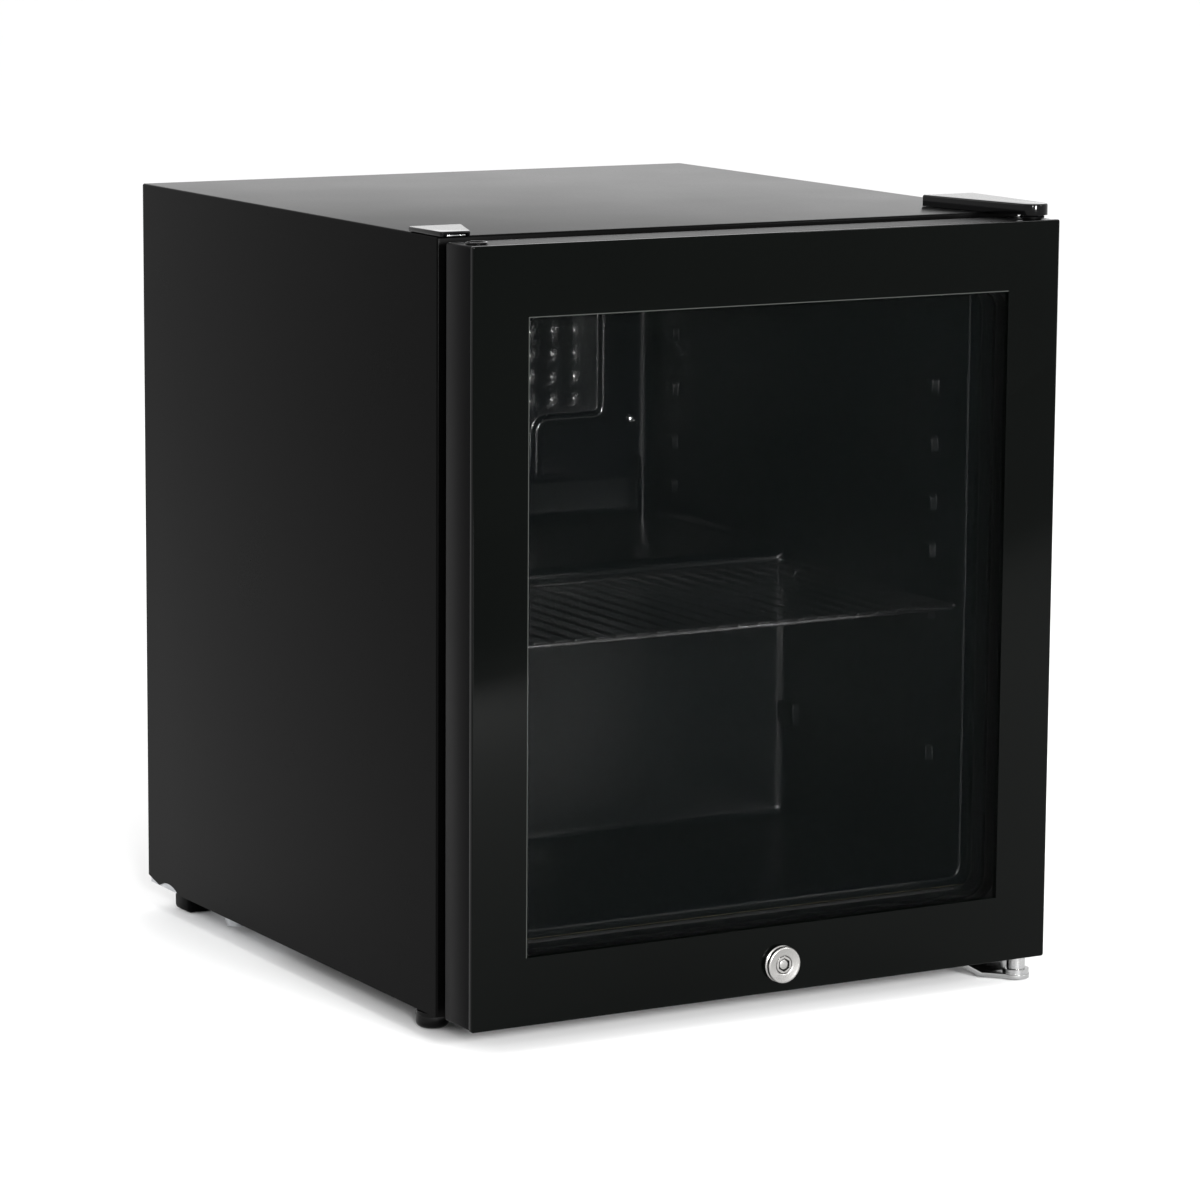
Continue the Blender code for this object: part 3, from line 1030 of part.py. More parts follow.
def build_spare_hinge():
    """The cap over the unused hinge place at the top left, with a metal clip under its front."""
    y = DOOR_FRONT_Y
    low, high = CABINET_TOP + GAP, CABINET_TOP + 0.0034
    near, far, edge = y + FACE - 0.0047, y + FACE + 0.0383, -WIDTH / 2
    outline = [(edge, far), (edge, near + 0.0015), (edge + 0.0015, near), (edge + 0.0195, near),
               (edge + 0.0210, near + 0.0015), (edge + 0.0370, far)]
    cap = piece("spare_hinge_cap", cut_out([outline], low, high), "gloss_black")
    soften(cap, 0.0005, 1, 60)
    cut(cap, block(0.0075, (FACE - 0.0167, FACE + 0.0153), (low - PAST, low + 0.0014), SPARE_X))
    piece("spare_hinge_clip", block(0.0065, (FACE - 0.0042, FACE + 0.0133), (low, low + 0.0009), SPARE_X),
          "zinc", smooth=False)


def build_lower_hinge():
    y = DOOR_FRONT_Y
    pin = (HINGE_X, y + HINGE_BACK)
    lower = piece("lower_hinge_bracket", lower_arm(), "zinc")
    left, right, near = HINGE_X - 0.0385, HINGE_X + ARM_NOSE, y + FACE + 0.0033
    plan = [(left, y + ARM_BACK), (left, near), (left + 0.010, near - 0.016)]
    plan += arc(pin, ARM_NOSE, 190, 360, 10) + [(right, near), (right, y + ARM_BACK)]
    work(lower, cut_out([plan], -PAST, CABINET_BOTTOM + PAST), "INTERSECT")
    fuse(lower, rod(at(HINGE_X, HINGE_BACK, ARM_FRONT_LOW + 0.0015),
                    at(HINGE_X, HINGE_BACK, BOSS_TOP), ARM_NOSE - 0.0004, 20))
    fuse(lower, rod(at(HINGE_X, HINGE_BACK, BOSS_TOP - SINK),
                    at(HINGE_X, HINGE_BACK, DOOR_BOTTOM - 0.0020), COLLAR_RADIUS, 20))
    fuse(lower, rod(at(HINGE_X, HINGE_BACK, DOOR_BOTTOM - 0.0075),
                    at(HINGE_X, HINGE_BACK, DOOR_BOTTOM + 0.0175), PIN_RADIUS, 20))
    for x, label in ((HINGE_X - 0.0265, "left"), (HINGE_X - 0.0025, "right")):
        screw_head(f"lower_hinge_screw_{label}", at(x, FACE + 0.0153, ARM_REAR_LOW - GAP), -1)


def lower_arm():
    """Side profile of the lower hinge arm, drawn through the full width of its plan."""
    y = DOOR_FRONT_Y
    start, stop = ARM_BEND
    line = [(0.0, ARM_FRONT_LOW), (start, ARM_FRONT_LOW), (stop, ARM_REAR_LOW),
            (ARM_BACK + 0.002, ARM_REAR_LOW)]
    lower_edge = [(y + back, z) for back, z in line]
    slope = atan2(ARM_REAR_LOW - ARM_FRONT_LOW, stop - start)
    shift = ARM_THICKNESS * (1 - cos(slope)) / sin(slope)
    shifts = (0.0, shift, shift, 0.0)
    upper_edge = [(y + back - less, z + ARM_THICKNESS) for (back, z), less in zip(line, shifts)]
    return cut_out([lower_edge + upper_edge[::-1]], HINGE_X - 0.050, HINGE_X + 0.025, "X")


def build_all():
    build_cabinet_shell()
    build_liner()
    build_foam()
    build_steelwork()
    tray_top = build_compressor_tray()
    build_feet()
    build_evaporator()
    build_cold_tubes()
    build_compressor(tray_top)
    build_compartment_fittings()
    build_warm_tubes()
    build_condenser()
    build_control()
    build_shelf()
    hinge = pivot("door_hinge", at(HINGE_X, HINGE_BACK, 0.0))
    inner_half, low, high = build_door_glass(hinge)
    build_door_frame(hinge, inner_half, low, high)
    build_bushes(hinge)
    build_lock(hinge)
    build_top_hinge()
    build_spare_hinge()
    build_lower_hinge()


build_all()
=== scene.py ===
# %% [markdown]
# A counter-top drinks fridge with a smoked-glass door.
#
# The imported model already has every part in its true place. This lesson dresses it: it gives
# each part the finish of the real thing, and models again, in finer detail, the parts whose
# rounded edges, folds and wires catch the light. Everything is in metres. +X is the fridge's
# right-hand side seen from the front, +Y is its back and +Z is up.

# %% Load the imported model
import json
from math import cos, pi, radians, sin

import bmesh
import bpy
from mathutils import Matrix, Vector

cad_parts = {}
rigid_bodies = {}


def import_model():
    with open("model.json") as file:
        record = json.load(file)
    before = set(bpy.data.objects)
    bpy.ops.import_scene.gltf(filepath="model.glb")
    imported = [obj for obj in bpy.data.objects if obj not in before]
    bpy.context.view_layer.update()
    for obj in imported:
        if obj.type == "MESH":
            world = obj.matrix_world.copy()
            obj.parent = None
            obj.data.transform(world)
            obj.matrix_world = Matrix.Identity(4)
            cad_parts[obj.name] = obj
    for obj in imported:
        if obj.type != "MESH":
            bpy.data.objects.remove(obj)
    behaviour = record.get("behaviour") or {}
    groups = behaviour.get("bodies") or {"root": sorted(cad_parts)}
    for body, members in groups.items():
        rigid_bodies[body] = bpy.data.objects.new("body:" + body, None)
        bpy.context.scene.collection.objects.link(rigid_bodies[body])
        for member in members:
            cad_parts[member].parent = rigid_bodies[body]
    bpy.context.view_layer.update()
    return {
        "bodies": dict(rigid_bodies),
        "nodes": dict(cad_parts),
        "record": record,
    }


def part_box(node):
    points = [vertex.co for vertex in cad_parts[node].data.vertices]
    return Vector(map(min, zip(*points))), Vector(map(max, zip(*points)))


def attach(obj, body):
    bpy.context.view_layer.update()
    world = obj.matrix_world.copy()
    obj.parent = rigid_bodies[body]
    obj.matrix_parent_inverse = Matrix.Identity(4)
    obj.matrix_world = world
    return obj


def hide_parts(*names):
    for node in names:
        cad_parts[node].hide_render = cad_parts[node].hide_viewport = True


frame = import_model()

for item in [o for o in bpy.data.objects if o.type in ("LIGHT", "CAMERA")]:
    bpy.data.objects.remove(item)
print("bodies:", ", ".join(sorted(frame["bodies"])))

# %% [markdown]
# A few sizes drive everything below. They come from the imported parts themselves, so a piece
# modelled here always sits where its plain part sits.

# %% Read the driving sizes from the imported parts
PANE_LOW, PANE_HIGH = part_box("door_glass_outer")
SHELL_LOW, SHELL_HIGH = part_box("cabinet_shell")
LINER_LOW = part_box("inner_liner")[0]
FRONT_Y = PANE_LOW.y                # front face of the door
FACE_Y = SHELL_LOW.y                # front face of the cabinet
BACK_Y = SHELL_HIGH.y
STEEL = 0.0008
LINER = 0.0012
GAP = 0.0003
SIDES = ((-1, "left"), (1, "right"))
SQUARE = ((-1, -1), (1, -1), (1, 1), (-1, 1))
NEAR = 0.0001                       # closer than this to a face counts as on it
DOUBLE = 0.000002                   # points closer than this are one
FLANGE = 0.014                      # width of the steel sheet's front flange
WINDOW_HALF = PANE_HIGH.x - 0.039
WINDOW_LOW_Z = PANE_LOW.z + 0.0435
WINDOW_HIGH_Z = PANE_HIGH.z - 0.045
print("door front at y", round(FRONT_Y, 4), "cabinet", round(FACE_Y, 4), "to", round(BACK_Y, 4))

# %% [markdown]
# The camera comes first, because every later choice is judged through it. The photograph was
# taken with a long lens, a little above the fridge and to its left, which is why the upright
# edges stay nearly parallel.

# %% Place the camera
camera_data = bpy.data.cameras.new("camera")
camera = bpy.data.objects.new("camera", camera_data)
bpy.context.scene.collection.objects.link(camera)
camera_data.lens = 145.97
camera_data.sensor_width = 36.0
camera_data.clip_end = 60.0
camera.location = (-1.6017, FRONT_Y - 2.579, 0.78675)
camera.rotation_euler = (radians(90 - 9.62), radians(-0.4), radians(-29.72))
bpy.context.scene.camera = camera
print("camera stands", round(camera.location.length, 2), "m away")

# %% [markdown]
# The studio is plain: a pale floor that runs into a pale backdrop, and a few large soft lamps.
# A black fridge is drawn by what it reflects, so each lamp is there for one thing. The key
# lamp stands behind the left side and draws its soft sheen, the front lamp looks straight in
# through the window, and the rear lamp gives the top its grey shine. Two small lamps at the
# front corners draw bright lines along rounded edges, wires and lugs.

# %% Build the floor and the lamps
MIDDLE = (0.0, 0.0, 0.25)


def deselect():
    """Leaves edit mode and deselects everything, so that an operator meets only its own piece."""
    if bpy.context.object and bpy.context.object.mode != "OBJECT":
        bpy.ops.object.mode_set(mode="OBJECT")
    bpy.ops.object.select_all(action="DESELECT")


def choose(item):
    """Makes a piece the only selected one, and the active one."""
    deselect()
    item.select_set(True)
    bpy.context.view_layer.objects.active = item


def lamp(name, place, size, power):
    """A square soft lamp that faces the middle of the fridge."""
    data = bpy.data.lights.new(name, "AREA")
    data.shape = "SQUARE"
    data.size = size
    data.energy = power
    item = bpy.data.objects.new(name, data)
    item.location = place
    item.rotation_euler = (Vector(MIDDLE) - Vector(place)).to_track_quat("-Z", "Y").to_euler()
    bpy.context.scene.collection.objects.link(item)


lamp("key_lamp", (-2.6, 1.6, 2.2), 1.4, 16)
lamp("front_lamp", (-0.10, -2.7, 0.86), 0.5, 95)
lamp("left_lamp", (-1.35, -3.0, 1.0), 0.35, 55)
lamp("right_lamp", (1.9, -2.6, 1.5), 0.5, 30)
lamp("rear_lamp", (1.2, 2.4, 1.6), 1.8, 9)

world = bpy.data.worlds.new("studio")
world.use_nodes = True
world.node_tree.nodes["Background"].inputs["Color"].default_value = (1.0, 1.0, 1.0, 1.0)
world.node_tree.nodes["Background"].inputs["Strength"].default_value = 1.1
bpy.context.scene.world = world
bpy.context.scene.view_settings.view_transform = "Standard"     # white stays pure white

deselect()
bpy.ops.mesh.primitive_plane_add(size=80, location=(0, 0, -0.0002))
floor = bpy.context.object
floor.name = "studio_floor"

# %% [markdown]
# A finish is a node tree, but it reads best as a sum. The small class below wraps a socket,
# so that `0.3 + 0.05 * grain` adds the Math nodes by itself. The `Finish` class starts each
# material with its constants and hands out the pattern nodes.

# %% Shader sums written as Python
def operator(operation, reflected=False):
    """A method that adds one Math node, with the wrapped socket first, or second if reflected."""
    def add_node(self, other=0.0):
        first, second = (other, self) if reflected else (self, other)
        return self.finish.node("ShaderNodeMath", {"operation": operation}, {0: first, 1: second})

    return add_node


class Value:
    """A socket that adds Math nodes when it is used in a sum."""

    def __init__(self, finish, socket):
        self.finish = finish
        self.socket = socket

    __add__, __radd__ = operator("ADD"), operator("ADD", True)
    __sub__, __rsub__ = operator("SUBTRACT"), operator("SUBTRACT", True)
    __mul__, __rmul__ = operator("MULTIPLY"), operator("MULTIPLY", True)
    __lt__, __abs__ = operator("LESS_THAN"), operator("ABSOLUTE")


FINISHES = {}


class Finish:
    """A material built from constants, patterns and sums, and filed under its name."""

    def __init__(self, name, **constants):
        FINISHES[name] = self
        self.material = bpy.data.materials.new(name)
        self.material.use_nodes = True
        self.tree = self.material.node_tree
        self.shader = self.tree.nodes["Principled BSDF"]
        self.place = self.node("ShaderNodeTexCoord", {}, {}, "Object")
        for words, value in constants.items():
            self.feed(words.replace("_", " ").title().replace("Ior", "IOR"), value)

    def node(self, kind, settings, inputs, output=0):
        """Adds a node: its settings first, then its sockets, and returns one output."""
        made = self.tree.nodes.new(kind)
        for word, value in settings.items():
            setattr(made, word, value)
        for key, value in inputs.items():
            self.join(value, made.inputs[key])
        return Value(self, made.outputs[output])

    def join(self, value, socket):
        if isinstance(value, Value):
            self.tree.links.new(value.socket, socket)
        elif socket.type == "RGBA" and len(value) == 3:
            socket.default_value = (*value, 1.0)
        else:
            socket.default_value = value

    def feed(self, words, value):
        """Gives the shader's socket of that name a number, a colour or a pattern."""
        self.join(value, self.shader.inputs[words])
        return self

    def noise(self, size, detail=2.0, stretch=(1, 1, 1)):
        """Soft random patches about `size` metres across, longer where stretch is small."""
        place = self.place
        if stretch != (1, 1, 1):
            place = self.node("ShaderNodeMapping", {}, {"Vector": self.place, "Scale": stretch})
        return self.node("ShaderNodeTexNoise", {}, {"Vector": place, "Scale": 1 / size, "Detail": detail})

    def cells(self, size):
        """A pattern of cells about `size` metres across."""
        return self.node("ShaderNodeTexVoronoi", {}, {"Vector": self.place, "Scale": 1 / size}, "Distance")

    def axis(self, letter):
        """The X, Y or Z coordinate in metres."""
        return self.node("ShaderNodeSeparateXYZ", {}, {"Vector": self.place}, letter)

    def mix(self, share, first, second):
        """A colour that goes from first to second as share goes from 0 to 1."""
        return self.node("ShaderNodeMix", {"data_type": "RGBA"}, {"Factor": share, "A": first, "B": second},
            "Result")

    def emboss(self, height, depth, strength=1.0):
        """Turns a height pattern into dents and bumps of about `depth` metres."""
        bump = self.node("ShaderNodeBump", {}, {"Height": height, "Distance": depth, "Strength": strength},
            "Normal")
        return self.feed("Normal", bump)


floor_paint = Finish("floor_paint", roughness=0.7, specular_ior_level=0.1)
floor_paint.feed("Base Color", floor_paint.mix(floor_paint.noise(0.8), (0.90, 0.90, 0.90),
    (0.93, 0.93, 0.93)))
floor.data.materials.append(floor_paint.material)
print("shader helpers ready")

# %% [markdown]
# The painted and moulded finishes. Nearly all of this fridge is black, so the finishes differ
# by how they shine: the steel sheet has the fine orange peel of powder paint, the door's glass
# is dead flat, the liner is drawn plastic with a soft ripple, and mouldings have a fine grain.
# Black paint against a white studio would look grey with a full 4% reflection, so the specular
# level is kept low, as a polarising filter would do for the photographer.

# %% Mix the black finishes
def black(slot, colour, low, high, grain, depth, specular, detail=2.0):
    """A black finish whose roughness drifts from low to high over a grained surface."""
    finish = Finish(slot, specular_ior_level=specular)
    drift = finish.noise(0.09, 3.0)
    speck = finish.noise(grain, detail)
    finish.feed("Base Color", finish.mix(drift, [0.8 * c for c in colour], [1.25 * c for c in colour]))
    finish.feed("Roughness", low + (high - low) * (0.6 * drift + 0.4 * speck))
    finish.emboss(speck, depth)


black("black_steel", (0.0008, 0.0008, 0.0008), 0.24, 0.34, 0.0016, 0.000006, 0.028)
black("black_liner", (0.0003, 0.0008, 0.0011), 0.20, 0.26, 0.0200, 0.000002, 0.20)
black("black_plastic", (0.0014, 0.0014, 0.0015), 0.30, 0.46, 0.0007, 0.000012, 0.024, 6.0)
black("gloss_black", (0.0010, 0.0010, 0.0011), 0.05, 0.10, 0.0040, 0.000006, 0.14)
black("seal_rubber", (0.0110, 0.0110, 0.0115), 0.48, 0.66, 0.0010, 0.000020, 0.20)
black("black_wire", (0.0040, 0.0040, 0.0044), 0.14, 0.20, 0.0100, 0.000003, 1.00)
black("evaporator_black", (0.0008, 0.0011, 0.0017), 0.15, 0.18, 0.0200, 0.000002, 0.60)
black("compressor_black", (0.0070, 0.0070, 0.0075), 0.18, 0.34, 0.0024, 0.000030, 0.35)
black("grey_rubber", (0.0420, 0.0420, 0.0430), 0.62, 0.85, 0.0012, 0.000030, 0.25)
print("finishes so far:", ", ".join(FINISHES))

# %% [markdown]
# Bare metals and light plastics. Galvanised sheet shows spangles, which are flat zinc crystals
# that each reflect a little differently, so a cell pattern drives the roughness. The lock is
# satin nickel, brushed lightly. Copper pipe darkens in patches where hands and flux touched it.

# %% Mix the metals and the light plastics
def metal(slot, colour, dull, low, high, grain, depth, stretch=(1, 1, 1)):
    """A bare metal that goes from its clean colour to a dull one in patches."""
    finish = Finish(slot, metallic=1.0)
    patch = finish.noise(0.03, 4.0)
    scratch = finish.noise(grain, 3.0, stretch)
    finish.feed("Base Color", finish.mix(patch, colour, dull))
    finish.feed("Roughness", low + (high - low) * (0.5 * patch + 0.5 * scratch))
    finish.emboss(scratch, depth)


metal("zinc", (0.46, 0.46, 0.455), (0.22, 0.225, 0.23), 0.10, 0.26, 0.0010, 0.000040)
metal("satin_nickel", (0.36, 0.355, 0.345), (0.28, 0.275, 0.268), 0.22, 0.34, 0.0006, 0.000008, (1, 1, 6))
metal("copper", (0.86, 0.42, 0.27), (0.42, 0.20, 0.13), 0.16, 0.42, 0.0020, 0.000020)

spangled = Finish("galvanised", metallic=1.0)
crystal = spangled.cells(0.009)
spangled.feed("Base Color", spangled.mix(crystal, (0.52, 0.53, 0.54), (0.38, 0.39, 0.41)))
spangled.feed("Roughness", 0.26 + 0.3 * crystal)
spangled.emboss(crystal, 0.000020)

foam = Finish("foam", roughness=0.92, specular_ior_level=0.2)
bubble = foam.cells(0.0022)
foam.feed("Base Color", foam.mix(bubble, (0.55, 0.43, 0.20), (0.74, 0.63, 0.36)))
foam.emboss(bubble, 0.0003)

pale = Finish("white_plastic", specular_ior_level=0.45)
pale_grain = pale.noise(0.0008, 4.0)
pale.feed("Base Color", pale.mix(pale.noise(0.05), (0.70, 0.70, 0.67), (0.78, 0.78, 0.76)))
pale.feed("Roughness", 0.34 + 0.14 * pale_grain)
pale.emboss(pale_grain, 0.000020)
print("finishes:", len(FINISHES))

# %% [markdown]
# The door's glass is one smoked pane. Its border is printed black on the back, and only the
# window lets light through. The print is drawn by alpha: a mask made from X and Z is one on
# the border and drops to the smoked value inside the window. A painted highlight runs along the
# window's left and upper sides: a hairline of lighter base colour stands for the light on the print's cut
# edge.

# %% Mix the door glass
SMOKE = 0.16                        # for each face of the pane, so twice on the way in
PAINTED_HIGHLIGHT_HALF_WIDTH = 0.0003                   # half the width of the painted highlight along the window's edge

tinted = Finish("door_glass", specular_ior_level=0.05)
across, up = tinted.axis("X"), tinted.axis("Z")
middle_z = (WINDOW_LOW_Z + WINDOW_HIGH_Z) / 2
half_high = (WINDOW_HIGH_Z - WINDOW_LOW_Z) / 2
inside = (abs(across) < WINDOW_HALF) * (abs(up - middle_z) < half_high)
# Painted highlight: this mask reaches one hairline further left and up than the window, and its rim is the
# painted line.
wider = (abs(across + PAINTED_HIGHLIGHT_HALF_WIDTH) < WINDOW_HALF + PAINTED_HIGHLIGHT_HALF_WIDTH) * (abs(up - middle_z - PAINTED_HIGHLIGHT_HALF_WIDTH) < half_high
    + PAINTED_HIGHLIGHT_HALF_WIDTH)
wave = tinted.noise(0.12, 1.0)
printed = tinted.mix(wave, (0.0004, 0.0006, 0.0005), (0.0008, 0.0011, 0.0009))
# Painted highlight: between the wider mask and the window the base colour is lighter, along the left and
# upper edges only.
tinted.feed("Base Color", tinted.mix(wider - inside, printed, (0.028, 0.030, 0.028)))
tinted.feed("Roughness", 0.02 + 0.03 * wave)
tinted.feed("Alpha", 1 - (1 - SMOKE) * inside)

clear = Finish("clear_glass", specular_ior_level=0.20)
film = clear.noise(0.05, 2.0)
clear.feed("Base Color", clear.mix(film, (0.010, 0.014, 0.014), (0.016, 0.020, 0.020)))
clear.feed("Roughness", 0.02 + 0.03 * film)
clear.feed("Alpha", 0.03 + 0.02 * film)
print("window", round(2 * WINDOW_HALF, 3), "m wide and", round(WINDOW_HIGH_Z - WINDOW_LOW_Z, 3), "m high")

# %% [markdown]
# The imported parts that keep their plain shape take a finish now. The record names a slot for
# every part, and the finishes above carry the same names. Two parts differ from their slot:
# the second pane is clear, and the bottom panel is painted, because its lip is the sill that
# shows when the door is open.

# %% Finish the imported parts
for row in frame["record"]["subparts"]:
    for holder in frame["nodes"][row["node"]].material_slots:
        holder.material = FINISHES[row["material_slot"]].material
frame["nodes"]["door_glass_inner"].material_slots[0].material = clear.material
frame["nodes"]["bottom_panel"].material_slots[0].material = FINISHES["black_steel"].material

# %% [markdown]
# Shapes are made with the same operators that a hand would use, so a few short helpers keep
# the cells below readable. `pick` goes into edit mode and selects what passes a test on its
# place and its normal, `modify` applies one modifier, and `done` names a finished piece and
# ties it to the body it moves with.

# %% Helpers for shaping
def leave_edit():
    bpy.ops.object.mode_set(mode="OBJECT")


def at(x, back, z):
    """A point given by its distance behind the door's front."""
    return Vector((x, FRONT_Y + back, z))


def settle():
    """Writes the active object's place, turn and size into its mesh."""
    bpy.ops.object.transform_apply(location=True, rotation=True, scale=True)
    return bpy.context.object


def cube(low, high):
    deselect()
    low, high = Vector(low), Vector(high)
    bpy.ops.mesh.primitive_cube_add(size=1, location=(low + high) / 2, scale=high - low)
    return settle()


def block(half, back, z, x=0.0):
    """A cube given by its half width, its depths behind the door's front and its heights."""
    return cube(at(x - half, back[0], z[0]), at(x + half, back[1], z[1]))


def rod(start, end, radius, sides=32):
    deselect()
    way = Vector(end) - Vector(start)
    bpy.ops.mesh.primitive_cylinder_add(vertices=sides, radius=radius, depth=way.length,
        location=(Vector(start) + Vector(end)) / 2, rotation=way.to_track_quat("Z", "Y").to_euler())
    return settle()


def pick(item, kind, test=lambda place, way: True, sharp=0):
    """Selects the faces, edges or points whose middle and normal (or direction) pass a test.
    With sharp, an edge also has to turn by more than that many degrees."""
    choose(item)
    bpy.ops.object.mode_set(mode="EDIT")
    bpy.ops.mesh.select_mode(type=kind)
    bpy.ops.mesh.select_all(action="DESELECT")
    mesh = bmesh.from_edit_mesh(item.data)
    if kind == "FACE":
        chosen = [f for f in mesh.faces if test(f.calc_center_median(), f.normal)]
    elif kind == "EDGE":
        ends = [(e, e.verts[0].co, e.verts[1].co) for e in mesh.edges]
        chosen = [e for e, a, b in ends if test((a + b) / 2, (b - a).normalized())
            and (not sharp or e.calc_face_angle(0.0) > radians(sharp))]
    else:
        chosen = [v for v in mesh.verts if test(v.co, v.normal)]
    for element in chosen:
        element.select_set(True)
    mesh.select_flush_mode()
    bmesh.update_edit_mesh(item.data)
    return len(chosen)


def modify(item, kind, **settings):
    """Adds a modifier, sets it and applies it."""
    choose(item)
    step = item.modifiers.new(kind.title(), kind)
    for word, value in settings.items():
        setattr(step, word, value)
    bpy.ops.object.modifier_apply(modifier=step.name)
    return item


def ease(item, width, segments, test, sharp=0):
    """Rounds the edges that pass a test, and returns how many they were."""
    count = pick(item, "EDGE", test, sharp)
    bpy.ops.mesh.bevel(offset=width, segments=segments, affect="EDGES")
    leave_edit()
    return count


def repeat(item, count, step):
    """Repeats a piece along a straight line, each time moved by the same step."""
    return modify(item, "ARRAY", count=count, use_relative_offset=False, use_constant_offset=True,
        constant_offset_displace=step)


def extrude(move):
    bpy.ops.mesh.extrude_region_move(TRANSFORM_OT_translate={"value": move})


def soften(item, width, segments=2, angle=40):
    """Rounds every edge that is sharper than an angle."""
    return modify(item, "BEVEL", width=width, segments=segments, limit_method="ANGLE",
        angle_limit=radians(angle))


def join(items):
    deselect()
    for item in items:
        item.select_set(True)
    bpy.context.view_layer.objects.active = items[0]
    bpy.ops.object.join()
    return items[0]


def carve(item, *tools, operation="DIFFERENCE"):
    """Cuts tools out of a piece, or welds them to it, and clears the tools away."""
    for tool in tools:
        modify(item, "BOOLEAN", object=tool, operation=operation, solver="EXACT", use_self=True)
        bpy.data.objects.remove(tool)
    return item


def weld(item, *tools):
    return carve(item, *tools, operation="UNION")


def copied(item, move=(0, 0, 0), mirror=False):
    """A copy with a mesh of its own, moved, or mirrored in X."""
    twin = item.copy()
    twin.data = item.data.copy()
    twin.data.transform(Matrix.Translation(move))
    if mirror:
        twin.data.transform(Matrix.Diagonal((-1, 1, 1, 1)))
        twin.data.flip_normals()
    bpy.context.scene.collection.objects.link(twin)
    return twin


def done(item, name, slot, *nodes, body="cabinet", angle=35, finish=None):
    """Names a finished piece, gives it its finish and ties it to the body it moves with."""
    choose(item)
    item.name = item.data.name = name
    item.data.materials.clear()
    item.data.materials.append((finish or FINISHES[slot]).material)
    item.data.polygons.foreach_set("material_index", [0] * len(item.data.polygons))
    bpy.ops.object.shade_smooth_by_angle(angle=radians(angle))
    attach(item, body)
    if nodes:
        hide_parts(*nodes)
    print(f"{name}: {len(item.data.polygons)} faces")
    return item


# %% [markdown]
# Round and flat parts come from a drawn line. `draw` extrudes a single point from place to
# place, as a hand would with the E key. `turned` spins such a line into a knob or a foot,
# `plate` fills it and gives it thickness, and `bent_tube` runs a round pipe along it.

# %% Helpers for drawn, turned and bent parts
def draw(points, closed=False):
    """Draws a chain of edges by extruding one point, and stays in edit mode."""
    deselect()
    points = [Vector(p) for p in points]
    bpy.ops.mesh.primitive_plane_add(size=0.01, location=points[0])
    settle()
    bpy.ops.object.mode_set(mode="EDIT")
    bpy.ops.mesh.select_mode(type="VERT")
    bpy.ops.mesh.select_all(action="SELECT")
    bpy.ops.mesh.merge(type="CENTER")
    route = points + points[:1] if closed else points
    for start, end in zip(route, route[1:]):
        extrude(end - start)
    bpy.ops.mesh.select_all(action="SELECT")
    if closed:
        bpy.ops.mesh.remove_doubles(threshold=DOUBLE)
    return bpy.context.object


def close_up():
    """Merges doubles, turns all faces outwards and goes back to object mode."""
    bpy.ops.mesh.select_all(action="SELECT")
    bpy.ops.mesh.remove_doubles(threshold=DOUBLE)
    bpy.ops.mesh.normals_make_consistent(inside=False)
    leave_edit()
    return bpy.context.object


def turned(profile, foot, axis=(0, 0, 1), sides=48):
    """Spins a profile of (radius, height) points round an axis that starts at foot."""
    foot, axis = Vector(foot), Vector(axis)
    ring = profile[0][0] > 0 and profile[-1][0] > 0
    draw([foot + Vector((r, 0, 0)) + h * axis for r, h in profile], closed=ring)
    bpy.ops.mesh.spin(steps=sides, angle=2 * pi, center=foot, axis=axis)
    return close_up()


def plate(points, thickness):
    """Fills a closed outline and extrudes it by a vector."""
    draw(points, closed=True)
    bpy.ops.mesh.edge_face_add()
    extrude(Vector(thickness))
    return close_up()


def arc(centre, radius, start, stop, steps):
    """Points along an arc, from one angle to another in degrees."""
    turns = [radians(start + (stop - start) * i / steps) for i in range(steps + 1)]
    return [(centre[0] + radius * cos(t), centre[1] + radius * sin(t)) for t in turns]


def rounded_outline(middle, half, radius, steps):
    """Points round a rectangle with arcs for corners, from its middle and half its sides."""
    points = []
    for right, top, start in ((1, 1, 0), (-1, 1, 90), (-1, -1, 180), (1, -1, 270)):
        centre = (middle[0] + right * (half[0] - radius), middle[1] + top * (half[1] - radius))
        points += arc(centre, radius, start, start + 90, steps)
    return points


def bent_tube(corners, radius, bend, sides=3):
    """A pipe along straight runs that are joined by round bends."""
    corners = [Vector(c) for c in corners]
    route = [corners[0]]
    for before, corner, after in zip(corners, corners[1:], corners[2:]):
        into, out = before - corner, after - corner
        reach = min(bend, 0.48 * into.length, 0.48 * out.length)
        start, end = corner + reach * into.normalized(), corner + reach * out.normalized()
        for step in range(7):
            share = step / 6
            route.append(start.lerp(corner, share).lerp(corner.lerp(end, share), share))
    route.append(corners[-1])
    curve = bpy.data.curves.new("route", "CURVE")
    curve.dimensions = "3D"
    spline = curve.splines.new("POLY")
    spline.points.add(len(route) - 1)
    for point, place in zip(spline.points, route):
        point.co = (*place, 1.0)
    curve.bevel_depth = radius
    curve.bevel_resolution = sides
    curve.use_fill_caps = True
    item = bpy.data.objects.new("route", curve)
    bpy.context.scene.collection.objects.link(item)
    choose(item)
    bpy.ops.object.convert(target="MESH")
    bpy.ops.object.mode_set(mode="EDIT")
    return close_up()


def eased(node, name, slot, width=0.0004, segments=2, angle=40, body="cabinet"):
    """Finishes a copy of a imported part: its loose triangles merged, and its edges rounded."""
    item = copied(frame["nodes"][node])
    item.parent = None
    item.matrix_world = Matrix()
    pick(item, "VERT")
    bpy.ops.mesh.remove_doubles(threshold=DOUBLE)
    bpy.ops.mesh.dissolve_limited(angle_limit=radians(1))
    leave_edit()
    if width:
        soften(item, width, segments, angle)
    return done(item, name, slot, node, body=body)


print("shaping helpers ready")

